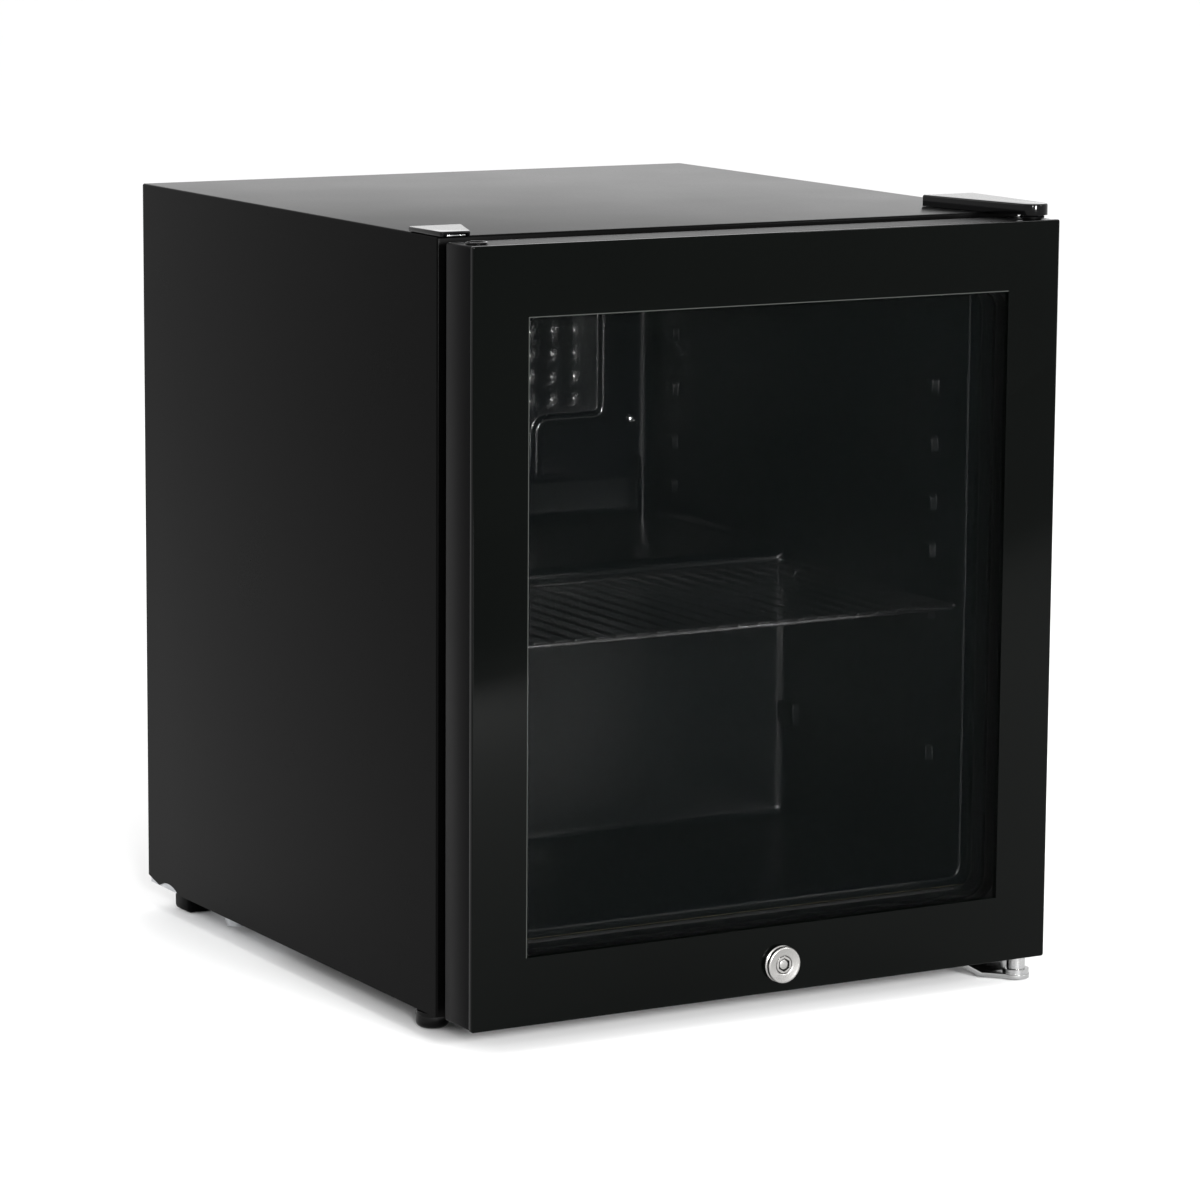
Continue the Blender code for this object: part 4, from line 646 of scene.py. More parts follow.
# %% [markdown]
# The cabinet is one steel sheet, folded over the top and down both sides, with a narrow flange
# turned in round the front. A cube gives the outside. Its back and its bottom are deleted, the
# front is inset without its open bottom edge, which leaves the flange, and the rest of the
# front is deleted. The folds get a small radius before Solidify gives the sheet its thickness.

# %% Fold the cabinet sheet
SHEET_FOLD = 0.0014
HEEL_LENGTH, HEEL_HEIGHT = 0.021, 0.005
NOTCH_CHORD, NOTCH_RISE = 0.033, 0.0045

sheet = cube(SHELL_LOW, SHELL_HIGH)
pick(sheet, "FACE", lambda place, normal: normal.y > 0.9 or normal.z < -0.9)
bpy.ops.mesh.delete(type="FACE")
pick(sheet, "FACE", lambda place, normal: normal.y < -0.9)
bpy.ops.mesh.inset(thickness=FLANGE, use_boundary=False)
bpy.ops.mesh.delete(type="FACE")
pick(sheet, "FACE")
bpy.ops.mesh.bisect(plane_co=(0, BACK_Y, SHELL_LOW.z + HEEL_HEIGHT),
    plane_no=(0, HEEL_HEIGHT, -HEEL_LENGTH), clear_outer=True)


def is_fold(place, way):
    """The folds run up the front corners, over the top's sides and along the top's front."""
    upright = abs(way.z) > 0.9 and abs(place.x) > SHELL_HIGH.x - 0.001 and place.y < FACE_Y + 0.001
    along = abs(way.y) > 0.9 and place.z > SHELL_HIGH.z - 0.001
    over = abs(way.x) > 0.9 and place.z > SHELL_HIGH.z - 0.001 and place.y < FACE_Y + 0.001
    return upright or along or over


folds = ease(sheet, SHEET_FOLD, 4, is_fold)
modify(sheet, "SOLIDIFY", thickness=STEEL, offset=-1, use_even_offset=True)
notch_radius = (NOTCH_CHORD ** 2 / 4 + NOTCH_RISE ** 2) / (2 * NOTCH_RISE)
notch_y = BACK_Y - HEEL_LENGTH + 0.005 - NOTCH_CHORD / 2
notch_z = SHELL_LOW.z + NOTCH_RISE - notch_radius
carve(sheet, rod((-0.3, notch_y, notch_z), (0.3, notch_y, notch_z), notch_radius, 96))
done(sheet, "cabinet_sheet", "black_steel", "cabinet_shell")
print("folds rounded:", folds)

# %% [markdown]
# The liner is a single sheet of plastic, drawn by vacuum over a mould. It has a step at the
# bottom rear, above the compressor, and large radii in every corner, because the mould has to
# let go. Its walls lean in by a couple of millimetres towards the back for the same reason.
# The room itself is modelled first, as the face of the mould, and Solidify adds the plastic
# on the outside.

# %% Draw the liner
CAVITY_HALF, CAVITY_DRAFT, CAVITY_ROUND = PANE_HIGH.x - 0.0375, 0.0025, 0.008
FACE = FACE_Y - FRONT_Y
DEPTH = BACK_Y - FRONT_Y
FLOOR, CEILING = 0.0665, SHELL_HIGH.z - 0.038
HUMP_FRONT, HUMP_TOP, CAVITY_BACK = DEPTH - 0.214, 0.256, DEPTH - 0.023
MOUTH_ROLL = 0.002


def half_width(back):
    """Half the cavity's width at a depth behind the door's front."""
    return CAVITY_HALF - CAVITY_DRAFT * (back - FACE) / (CAVITY_BACK - FACE)


def extrude_loop(old, new, back):
    """Extrudes the selected loop backwards, from one (half width, low, high) to another."""
    extrude((0, back, 0))
    stretch = (new[2] - new[1]) / (old[2] - old[1])
    middle = (old[1] * stretch - new[1]) / (stretch - 1) if abs(stretch - 1) > 1e-6 else 0.0
    bpy.ops.transform.resize(value=(new[0] / old[0], 1, stretch), center_override=(0, 0, middle))


liner = block(CAVITY_HALF, (FACE + MOUTH_ROLL, HUMP_FRONT), (FLOOR, CEILING))
pick(liner, "FACE")
bpy.ops.mesh.bisect(plane_co=(0, 0, HUMP_TOP), plane_no=(0, 0, 1))
pick(liner, "FACE", lambda place, normal: normal.y > 0.9 and place.z > HUMP_TOP)
extrude((0, CAVITY_BACK - HUMP_FRONT, 0))
for depth in (HUMP_FRONT, CAVITY_BACK):
    pick(liner, "VERT", lambda place, normal: abs(place.y - FRONT_Y - depth) < NEAR)
    bpy.ops.transform.resize(value=(half_width(depth) / CAVITY_HALF, 1, 1), center_override=(0, 0, 0))
pick(liner, "FACE", lambda place, normal: normal.y < -0.9 and place.y < FACE_Y + MOUTH_ROLL + NEAR)
bpy.ops.mesh.delete(type="FACE")
pick(liner, "FACE")
bpy.ops.mesh.dissolve_limited(angle_limit=radians(0.5))
corners = ease(liner, CAVITY_ROUND, 6, lambda place, way: place.y > FACE_Y + MOUTH_ROLL + NEAR)

# %% [markdown]
# The mouth rolls outwards into a flat rim, which the steel flange frames. The open loop is
# extruded in small steps along a quarter circle, then once more out to the rim. The rim's
# rounded corners are drawn out to square ones by scaling their points to the corner.

# %% Roll the liner's mouth out to its rim
RIM_HALF = SHELL_HIGH.x - FLANGE - GAP
RIM = (RIM_HALF, LINER_LOW.z, SHELL_HIGH.z - FLANGE - GAP)
ROLL_STEPS = 4

pick(liner, "EDGE", lambda place, way: place.y < FACE_Y + MOUTH_ROLL + NEAR and abs(way.y) < 0.5)
loop, went = (CAVITY_HALF, FLOOR, CEILING), 0.0
for step in range(1, ROLL_STEPS + 1):
    turn = radians(90 * step / ROLL_STEPS)
    out, ahead = MOUTH_ROLL * (1 - cos(turn)), MOUTH_ROLL * sin(turn)
    wider = (CAVITY_HALF + out, FLOOR - out, CEILING + out)
    extrude_loop(loop, wider, went - ahead)
    loop, went = wider, ahead
extrude_loop(loop, RIM, 0)
for side in (-1, 1):
    for z in RIM[1:]:
        corner = Vector((side * RIM_HALF, FACE_Y, z))
        pick(liner, "VERT", lambda place, normal: place.y < FACE_Y + NEAR
            and abs(place.x - corner.x) < 0.0105 and abs(place.z - z) < 0.0105
            and (abs(place.x) > RIM_HALF - NEAR or not RIM[1] + NEAR < place.z < RIM[2] - NEAR
            or abs(abs(place.x) - loop[0]) > 0.012))
        bpy.ops.transform.resize(value=(0, 1, 0), center_override=corner)
pick(liner, "FACE")
bpy.ops.mesh.remove_doubles(threshold=DOUBLE)
bpy.ops.mesh.normals_make_consistent(inside=False)
if pick(liner, "FACE", lambda place, normal: normal.y > 0.9 and place.y < FACE_Y + NEAR):
    bpy.ops.mesh.select_all(action="SELECT")
    bpy.ops.mesh.flip_normals()
leave_edit()
modify(liner, "SOLIDIFY", thickness=LINER, offset=-1, use_even_offset=True)
print("liner corners rounded:", corners)

# %% [markdown]
# Small blocks stand out of the side walls, in pairs of front and rear, and the shelf rests on
# them. They are part of the same sheet, so each has soft edges and a soft foot. One block is
# modelled, rounded and copied to every height and to both walls, and all are welded at once.

# %% Raise the shelf lugs
LUG_OUT, LUG_HEIGHT, LUG_LENGTH = 0.006, 0.010, 0.011
LUG_BACK, LUG_FRONT = CAVITY_BACK - 0.039, FACE + 0.0383
UPPER_LUGS = (0.396, 0.357, 0.318, 0.286)
LOWER_LUGS = (0.2445, 0.149)
CORNER_LUG_LENGTH, CORNER_LUG_HEIGHT = 0.020, 0.016
DRAIN_X, DRAIN_BACK = -0.045, DEPTH - 0.044
SENSOR_X, SENSOR_BACK = CAVITY_HALF - 0.012, CAVITY_BACK - 0.009


def lug(back, z, length, height, foot, crown):
    """One block on the right-hand wall, whose top is at z, with a hollow foot and a soft crown."""
    middle = at(half_width(back), back, z - height / 2)
    outline = rounded_outline(middle.yz, (length / 2 + foot, height / 2 + foot), 0.0016 + foot, 4)
    draw([(middle.x + LINER / 2, y, z) for y, z in outline], closed=True)
    bpy.ops.mesh.edge_face_add()
    steps = arc((-foot, foot), foot, -90, 0, 3) + arc((crown, LUG_OUT - crown), crown, 180, 90, 3)
    inset, out = -foot, -LINER / 2
    for next_inset, next_out in steps:
        extrude((out - next_out, 0, 0))
        scale = [(half - next_inset) / (half - inset) for half in (length / 2, height / 2)]
        bpy.ops.transform.resize(value=(1, *scale), center_override=middle)
        inset, out = next_inset, next_out
    return close_up()


lugs = []
for back, heights in ((LUG_BACK, UPPER_LUGS), (LUG_FRONT, UPPER_LUGS + LOWER_LUGS)):
    first = lug(back, heights[0], LUG_LENGTH, LUG_HEIGHT, 0.0014, 0.0014)
    lugs += [first] + [copied(first, (0, 0, z - heights[0])) for z in heights[1:]]
middle = HUMP_FRONT - CORNER_LUG_LENGTH / 2 + LINER / 2
first = lug(middle, LOWER_LUGS[0], CORNER_LUG_LENGTH + LINER, CORNER_LUG_HEIGHT, 0.0002, 0.0018)
lugs += [first, copied(first, (0, 0, LOWER_LUGS[1] - LOWER_LUGS[0]))]
lugs += [copied(item, mirror=True) for item in lugs]
weld(liner, join(lugs))
for x, back, radius in ((DRAIN_X, DRAIN_BACK, 0.0032), (SENSOR_X, SENSOR_BACK, 0.0033)):
    carve(liner, rod(at(x, back, HUMP_TOP - 0.01), at(x, back, HUMP_TOP + 0.01), radius, 20))
done(liner, "liner", "black_liner", "inner_liner", angle=50)

# %% [markdown]
# The evaporator is two aluminium sheets bonded together and painted black. The refrigerant
# runs in a raised channel that was blown up between them, and a field of round dents
# stiffens the middle. The channel is a curve with a round section whose back half is cut
# away, and its foot is bevelled into a hollow. A dent is a turned funnel with a small flat
# floor, modelled once, repeated by two Array modifiers and carved out of the plate.

# %% Press the evaporator plate
PLATE_HALF, PLATE_LOW, PLATE_HIGH = CAVITY_HALF - 0.0115, HUMP_TOP + 0.027, CEILING - 0.018
PLATE_FRONT = CAVITY_BACK - GAP - 0.0016
CHANNEL_X, CHANNEL_FOOT_X, CHANNEL_END_X = PLATE_HALF - 0.030, 0.081, 0.050
CHANNEL_LOW_Z, CHANNEL_TOP_Z, SUCTION_Z = PLATE_LOW + 0.046, PLATE_HIGH - 0.010, PLATE_LOW + 0.009
CHANNEL_RADIUS = 0.0036
DIMPLE_X, DIMPLE_Z, DIMPLE_DEEP = 0.0183, 0.0164, 0.0013
DIMPLE_COLUMNS, DIMPLE_ROWS = 13, 6

plate_y = at(0, PLATE_FRONT, 0).y
evaporator = block(PLATE_HALF, (PLATE_FRONT, CAVITY_BACK - GAP), (PLATE_LOW, PLATE_HIGH))
ease(evaporator, 0.006, 5, lambda place, way: abs(way.y) > 0.9)
ease(evaporator, 0.0005, 2, lambda place, way: abs(way.y) < 0.1 and place.y < plate_y + NEAR)

route = ((CHANNEL_FOOT_X, SUCTION_Z), (CHANNEL_FOOT_X, CHANNEL_LOW_Z), (CHANNEL_X, CHANNEL_LOW_Z),
    (CHANNEL_X, CHANNEL_TOP_Z), (-CHANNEL_X, CHANNEL_TOP_Z), (-CHANNEL_X, CHANNEL_LOW_Z),
    (CHANNEL_END_X, CHANNEL_LOW_Z))
channel = bent_tube([at(x, PLATE_FRONT + 0.0004, z) for x, z in route], CHANNEL_RADIUS, 0.010, 5)
pick(channel, "FACE")
bpy.ops.mesh.bisect(plane_co=at(0, PLATE_FRONT + 0.0008, 0), plane_no=(0, 1, 0), clear_outer=True,
    use_fill=True)
leave_edit()

weld(evaporator, channel)
creases = ease(evaporator, 0.0016, 4, lambda place, way: abs(place.y - plate_y) < 0.00002
    and abs(place.x) < PLATE_HALF - 0.003 and PLATE_LOW + 0.003 < place.z < PLATE_HIGH - 0.003, sharp=15)

funnel = [(0.0, -DIMPLE_DEEP), (0.0021, -DIMPLE_DEEP), (0.0024, -DIMPLE_DEEP + 0.0001)]
for step in range(7):
    share = step / 6
    funnel.append((0.0026 + 0.0048 * share, -DIMPLE_DEEP * (0.88 - 0.88 * share ** 0.75)))
funnel += [(0.0076, 0.0004), (0.0, 0.0004)]
first = at(-(DIMPLE_COLUMNS - 1) / 2 * DIMPLE_X, PLATE_FRONT, PLATE_LOW + 0.062)
dent = turned(funnel, first, (0, -1, 0), 28)
for count, step in ((DIMPLE_COLUMNS, (DIMPLE_X, 0, 0)), (DIMPLE_ROWS, (0, 0, DIMPLE_Z))):
    repeat(dent, count, step)
carve(evaporator, dent)
print("creases softened:", creases)
done(evaporator, "evaporator_plate_pressed", "evaporator_black", "evaporator_plate", angle=50)

# %% [markdown]
# A screw head on each side holds the plate off the liner, and the thermostat's feeler runs in
# a sleeve beside it. The screws are turned, and their cross recess is cut by two crossed
# blades.

# %% Drive the screws
def screw(name, foot, axis, radius, height, *nodes):
    """A pan-head screw whose cross recess faces along its axis."""
    foot, axis = Vector(foot), Vector(axis)
    head = turned([(0.0, 0.0), (radius, 0.0), (0.98 * radius, 0.35 * height), (0.85 * radius, 0.7 * height),
        (0.5 * radius, 0.95 * height), (0.0, height)], foot, axis, 32)
    reach, half, top = 0.55 * radius, 0.13 * radius, foot + 0.45 * height * axis
    for way in (Vector((1, 0, 0)), axis.cross(Vector((1, 0, 0)))):
        side = axis.cross(way)
        blade = plate([top + a * reach * way + b * half * side for a, b in SQUARE], height * axis)
        carve(head, blade)
    return done(head, name, "zinc", *nodes, angle=30)


SCREW_X, SCREW_Z = PLATE_HALF - 0.006, PLATE_LOW + 0.0425
for side, label in SIDES:
    screw(f"evaporator_screw_head_{label}", at(side * SCREW_X, PLATE_FRONT - GAP, SCREW_Z), (0, -1, 0),
        0.0034, 0.0022, f"evaporator_screw_{label}")

# %% [markdown]
# The shelf is made of thin steel bars, welded across three thicker wires and coated black.
# Two of the wires lie close together at the front, which keeps cans from tipping over the
# edge. One bar with rounded ends is modelled, arrayed across the width and welded on.

# %% Weld the wire shelf
SHELF_HALF = CAVITY_HALF - 0.003
SHELF_FRONT, SHELF_BACK = FACE + 0.0043, HUMP_FRONT - 0.0045
BAR_RADIUS, RAIL_RADIUS, BARS = 0.0011, 0.0015, 24


def wire(start, end, radius, sides):
    """A straight wire with rounded ends."""
    item = rod(start, end, radius, sides)
    way = (Vector(end) - Vector(start)).normalized()
    for sense in (-1, 1):
        pick(item, "FACE", lambda place, normal: normal.dot(way) * sense > 0.9)
        bpy.ops.mesh.bevel(offset=radius * 0.6, segments=2, affect="EDGES")
        leave_edit()
    return item


rail_z = LOWER_LUGS[0] + GAP + RAIL_RADIUS
bar_z = rail_z + RAIL_RADIUS + BAR_RADIUS - 0.0004
rails = [wire(at(-SHELF_HALF, back, rail_z), at(SHELF_HALF, back, rail_z), RAIL_RADIUS, 12)
    for back in (SHELF_FRONT + 0.004, SHELF_FRONT + 0.010, SHELF_BACK - 0.004)]
edge = SHELF_HALF - BAR_RADIUS
bars = wire(at(-edge, SHELF_FRONT, bar_z), at(-edge, SHELF_BACK, bar_z), BAR_RADIUS, 10)
repeat(bars, BARS, (2 * edge / (BARS - 1), 0, 0))
shelf = weld(join(rails), bars)
done(shelf, "wire_shelf_welded", "black_wire", "wire_shelf", body="shelf", angle=50)

# %% [markdown]
# The door's face is one pane of toughened glass with ground and polished edges. Its corners
# are barely rounded, and a round hole lets the lock through. The bevel all round the front is
# narrow, but it draws the bright line along the door's left edge.

# %% Grind the door's glass
GLASS = 0.004
LOCK_X, LOCK_Z, LOCK_HOLE = 0.010, PANE_LOW.z + 0.0185, 0.0083

pane = cube(PANE_LOW, (PANE_HIGH.x, FRONT_Y + GLASS, PANE_HIGH.z))
ease(pane, 0.0015, 4, lambda place, way: abs(way.y) > 0.9)
ease(pane, 0.0006, 3, lambda place, way: abs(way.y) < 0.1)
carve(pane, rod(at(LOCK_X, -0.01, LOCK_Z), at(LOCK_X, 0.02, LOCK_Z), LOCK_HOLE, 64))
done(pane, "front_pane", "door_glass", "door_glass_outer", body="door", angle=25)

# %% [markdown]
# Behind the glass sits the moulded frame. It is a deep plastic ring that holds the second pane
# in a rebate, and it takes the hinge bushes, the lock and the magnetic seal. It is cut from a
# block with the window, the rebate and the holes as tools, and every edge is then eased.

# %% Mould the door's frame
WINDOW_ROUND, FRAME_FRONT, RIM_WALL = 0.014, 0.0115, 0.025
DOOR_THICK = 0.036
POCKET_HALF = PANE_HIGH.x - RIM_WALL - GAP
POCKET_LOW, POCKET_HIGH = WINDOW_LOW_Z - 0.0125, WINDOW_HIGH_Z + POCKET_HALF - WINDOW_HALF
HINGE_X, HINGE_BACK = PANE_HIGH.x - 0.0105, 0.0165
SPARE_X = 0.0005 - HINGE_X
BUSH_LENGTH, BUSH_HOLE = 0.020, 0.0063


def rounded_block(half, back, z, radius, segments=8):
    """A block whose four edges along Y are rounded."""
    item = block(half, back, z)
    ease(item, radius, segments, lambda place, way: abs(way.y) > 0.9)
    return item


door_frame = rounded_block(PANE_HIGH.x - 0.0004, (GLASS + GAP, DOOR_THICK),
    (PANE_LOW.z + 0.0004, PANE_HIGH.z - 0.0004), 0.0015, 3)
window_z = (WINDOW_LOW_Z - 0.001, WINDOW_HIGH_Z + 0.001)
window_tool = rounded_block(WINDOW_HALF + 0.001, (-0.01, 0.05), window_z, WINDOW_ROUND)
rebate_tool = block(POCKET_HALF + GAP, (GLASS + GAP + FRAME_FRONT, 0.05),
    (POCKET_LOW - GAP, POCKET_HIGH + GAP))
carve(door_frame, window_tool, rebate_tool)
soften(door_frame, 0.0007, 2, 50)
for z, inwards in ((PANE_HIGH.z, -1), (PANE_LOW.z, 1)):
    for x in (HINGE_X, SPARE_X):
        start = at(x, HINGE_BACK, z - inwards * 0.01)
        end = at(x, HINGE_BACK, z + inwards * (BUSH_LENGTH + 0.0004))
        carve(door_frame, rod(start, end, BUSH_HOLE, 32))
carve(door_frame, rod(at(LOCK_X, -0.01, LOCK_Z), at(LOCK_X, 0.05, LOCK_Z), LOCK_HOLE, 48))
done(door_frame, "door_frame_moulded", "black_plastic", "door_frame", body="door", angle=30)

inner_front = GLASS + GAP + FRAME_FRONT + GAP
inner_pane = block(POCKET_HALF, (inner_front, inner_front + GLASS), (POCKET_LOW, POCKET_HIGH))
soften(inner_pane, 0.0004, 2, 40)
done(inner_pane, "inner_pane", "door_glass", "door_glass_inner", body="door", finish=clear, angle=25)

# %% [markdown]
# A bezel snaps in behind the second pane and hides its edge. Its inner edge slopes towards
# the glass, as a picture frame's does, so the loop at its back is wider than the one at the
# front.

# %% Mould the bezel
bezel_front, bezel_back = inner_front + GLASS + GAP, DOOR_THICK - GAP
bezel = block(POCKET_HALF, (bezel_front, bezel_back), (POCKET_LOW, POCKET_HIGH))
opening = rounded_block(WINDOW_HALF + 0.002, (bezel_front - 0.01, bezel_back + 0.01),
    (WINDOW_LOW_Z, WINDOW_HIGH_Z), WINDOW_ROUND)
carve(bezel, opening)
ease(bezel, 0.004, 4, lambda place, way: place.y > FRONT_Y + bezel_back - NEAR and abs(way.y) < 0.1
    and abs(place.x) < WINDOW_HALF + 0.0025 and window_z[0] < place.z < window_z[1])
done(bezel, "pane_bezel", "black_plastic", "door_bezel", body="door", angle=30)

# %% [markdown]
# The magnetic seal is an extruded rubber strip, mitred at the corners. It has a base that
# holds it in the frame, a soft bellows and a head with the magnet. One loop is drawn round
# the door, and its section is walked by extruding the loop from one width and depth to the
# next, until it meets its start.

# %% Extrude the magnetic seal
SEAL_HALF, SEAL_LOW, SEAL_HIGH = PANE_HIGH.x - 0.010, LOCK_Z + 0.0118, PANE_HIGH.z - 0.010
SEAL_START, SEAL_END = DOOR_THICK + GAP, FACE - GAP
SEAL_ROUND = 0.003
# The section, as (distance in from the seal's outer edge, share of its depth), starting and
# ending at the outer edge against the door.
SECTION = ((0.0, 0.0), (0.0, 0.12), (0.0022, 0.26), (0.0028, 0.40), (0.0008, 0.52), (0.0006, 0.62),
    (0.0016, 0.72), (0.0004, 0.82), (0.0002, 0.94), (0.0012, 1.0), (0.0108, 1.0), (0.0118, 0.94),
    (0.0116, 0.82), (0.0100, 0.72), (0.0110, 0.60), (0.0098, 0.44), (0.0114, 0.26), (0.0120, 0.12),
    (0.0120, 0.0), (0.0, 0.0))


def seal_loop(inset):
    return (SEAL_HALF - inset, SEAL_LOW + inset, SEAL_HIGH - inset)


outline = rounded_outline((0.0, (SEAL_LOW + SEAL_HIGH) / 2), (SEAL_HALF, (SEAL_HIGH - SEAL_LOW) / 2),
    SEAL_ROUND, 3)
seal = draw([at(x, SEAL_START, z) for x, z in outline], closed=True)
for (inset, share), (next_inset, next_share) in zip(SECTION, SECTION[1:]):
    extrude_loop(seal_loop(inset), seal_loop(next_inset), (next_share - share) * (SEAL_END - SEAL_START))
close_up()
done(seal, "magnetic_seal", "seal_rubber", "door_gasket", body="door", angle=60)

# %% [markdown]
# The hinge bushes are turned plastic, pressed into the frame. On the side without a hinge,
# plain plugs close the same holes, so that the door can be hung the other way round.

# %% Turn the bushes and the plugs
for label, z, up in (("top", PANE_HIGH.z, 1), ("bottom", PANE_LOW.z, -1)):
    bush = turned([(0.0038, -BUSH_LENGTH), (0.006, -BUSH_LENGTH), (0.006, GAP), (0.008, GAP),
        (0.008, 0.0012), (0.0075, 0.0017), (0.0044, 0.0017), (0.0038, 0.0011)], at(HINGE_X, HINGE_BACK, z),
        (0, 0, up))
    done(bush, f"hinge_bush_{label}", "black_plastic", f"door_bush_{label}", body="door")
    plug = turned([(0.0, -0.012), (0.0052, -0.012), (0.006, -0.010), (0.006, GAP), (0.007, GAP),
        (0.007, 0.0007), (0.0066, 0.0012), (0.0060, 0.0012), (0.0052, 0.0004), (0.0, -0.0045)],
        at(SPARE_X, HINGE_BACK, z), (0, 0, up))
    done(plug, f"hole_plug_{label}", "gloss_black", f"door_plug_{label}", body="door")

# %% [markdown]
# The lock is a turned nickel barrel, pushed through the door and held by a nut behind it. A
# groove parts its thick face from the thin flange, and the face is a shallow dish with a
# rounded rim. The plug inside has a six-sided mouth round a steel pin, and a cam on its far
# end that turns with it.

# %% Turn the lock
SLEEVE, PLUG, BORE = 0.008, 0.0056, 0.0059
SLEEVE_END = FACE + 0.0028
LOCK_FACE = at(LOCK_X, 0.0, LOCK_Z)

rim = arc((0.0108, -0.0044), 0.0011, 0, -90, 6)
dish = [(0.0108 - 0.0044 * k / 8, -0.0055 + 0.0009 * (k / 8) ** 0.8) for k in range(1, 9)]
barrel = turned([(BORE, SLEEVE_END), (SLEEVE, SLEEVE_END), (SLEEVE, -GAP), (0.012, -GAP), (0.012, -0.0009),
    (0.0118, -0.0011), (0.0107, -0.0015), (0.0104, -0.0018), (0.0104, -0.0021), (0.0112, -0.0024),
    (0.0117, -0.0026), (0.0119, -0.0029)] + rim + dish + [(BORE + 0.0002, -0.0044), (BORE, -0.0041)],
    LOCK_FACE, (0, 1, 0), 96)
done(barrel, "lock_barrel_turned", "satin_nickel", "lock_barrel", body="door", angle=28)

plug = turned([(0.0, SLEEVE_END + 0.0038), (PLUG - 0.0003, SLEEVE_END + 0.0038),
    (PLUG, SLEEVE_END + 0.0035), (PLUG, -0.0041), (PLUG - 0.0003, -0.0044), (0.0, -0.0044)], LOCK_FACE,
    (0, 1, 0), 72)
carve(plug, rod(at(LOCK_X, -0.01, LOCK_Z), at(LOCK_X, 0.0030, LOCK_Z), 0.0045, 6))
weld(plug, turned([(0.0, 0.004), (0.0032, 0.004), (0.0032, -0.0034), (0.0030, -0.0038), (0.0025, -0.0040),
    (0.0, -0.0040)], LOCK_FACE, (0, 1, 0), 40))
done(plug, "lock_plug_turned", "satin_nickel", "lock_plug", body="lock", angle=28)
eased("lock_nut", "lock_nut_chamfered", "zinc", body="door")
eased("lock_cam", "lock_cam_stamped", "zinc", 0.0003, body="lock")

# %% [markdown]
# The cap over the upper hinge is a glossy moulding with a rounded nose round the pin. It is
# drawn in plan, extruded, rounded along its top and then hollowed from below by Solidify.

# %% Mould the hinge caps
COVER_LOW, COVER_TOP = SHELL_HIGH.z + GAP, SHELL_HIGH.z + 0.0077
COVER_REACH = FACE + 0.0533
COVER_LEFT, COVER_RIGHT = HINGE_X - 0.0305, PANE_HIGH.x - 0.0005
pin = (HINGE_X, FRONT_Y + HINGE_BACK)

cover_back = FRONT_Y + COVER_REACH
outline = [(COVER_LEFT, cover_back)] + arc(pin, 0.010, 200, 360, 24) + [(COVER_RIGHT, cover_back)]
cover = plate([(x, y, COVER_LOW) for x, y in outline], (0, 0, COVER_TOP - COVER_LOW))
ease(cover, 0.0015, 4, lambda place, way: abs(way.z) > 0.9 and place.y > cover_back - 0.001)
ease(cover, 0.0012, 4, lambda place, way: place.z > COVER_TOP - NEAR)
pick(cover, "FACE", lambda place, normal: normal.z < -0.9)
bpy.ops.mesh.delete(type="FACE")
leave_edit()
modify(cover, "SOLIDIFY", thickness=0.0012, offset=-1, use_even_offset=True)
done(cover, "hinge_cover_moulded", "gloss_black", "hinge_cover")

eased("spare_hinge_cap", "spare_hinge_cap_moulded", "gloss_black", 0.0004, 3)
eased("spare_hinge_clip", "spare_hinge_clip_bent", "zinc", 0.0002)

# %% [markdown]
# Both hinges are stamped from thick plate. The upper one is black. The lower one is zinc
# plated, steps down under the door and ends in a boss with a collar, which the door stands
# on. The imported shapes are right, so copies of them get the small radius of a stamping.

# %% Stamp the hinges
eased("top_hinge_bracket", "top_hinge_stamped", "black_steel", 0.0003, 2, 30)
eased("lower_hinge_bracket", "lower_hinge_stamped", "zinc", 0.0005, 3, 30)
PLATE_TOP = SHELL_HIGH.z + GAP + 0.0022 + GAP
ARM_LOW = SHELL_LOW.z - 0.0028
for level, up, back, z, places in (("top", 1, 0.0253, PLATE_TOP, (-0.016, 0.0005)),
        ("lower", -1, 0.0153, ARM_LOW - GAP, (-0.0265, -0.0025))):
    for x, (_, label) in zip(places, SIDES):
        screw(f"{level}_hinge_screw_head_{label}", at(HINGE_X + x, FACE + back, z), (0, 0, up), 0.0038,
            0.0022, f"{level}_hinge_screw_{label}")

# %% [markdown]
# The front feet screw in and out to level the fridge. Each is turned as one smooth black
# plastic drum with a rounded foot, on a steel stud. The rear feet are plain blocks that hold
# the compressor's tray.

# %% Turn the feet
FOOT_X, FOOT_BACK = SHELL_HIGH.x - 0.019, FACE + 0.0413
FOOT_RADIUS, FOOT_ROUND, STUD = 0.0108, 0.004, 0.003
for side, label in SIDES:
    bottom = arc((FOOT_RADIUS - FOOT_ROUND, FOOT_ROUND), FOOT_ROUND, -90, 0, 6)
    foot = turned([(0.0, 0.0)] + bottom + [(FOOT_RADIUS, 0.0100), (FOOT_RADIUS - 0.0006, 0.0112),
        (FOOT_RADIUS - 0.0020, 0.0126), (0.0075, 0.0143), (0.007, 0.0150), (0.007, SHELL_LOW.z - 0.0003),
        (0.0066, SHELL_LOW.z), (STUD, SHELL_LOW.z), (STUD, 0.0334), (STUD - 0.0006, 0.034), (0.0, 0.034)],
        at(side * FOOT_X, FOOT_BACK, 0.0), (0, 0, 1), 64)
    done(foot, f"levelling_foot_{label}", "gloss_black", f"foot_front_{label}", body=f"foot_{label}")
    eased(f"foot_rear_{label}", f"rear_foot_{label}", "black_plastic")

# %% [markdown]
# The condenser hangs on the back. It is one long steel pipe, bent to and fro, with thin wires
# welded across both faces to shed the heat. The wires are modelled once, arrayed for each
# face and joined to the pipe.

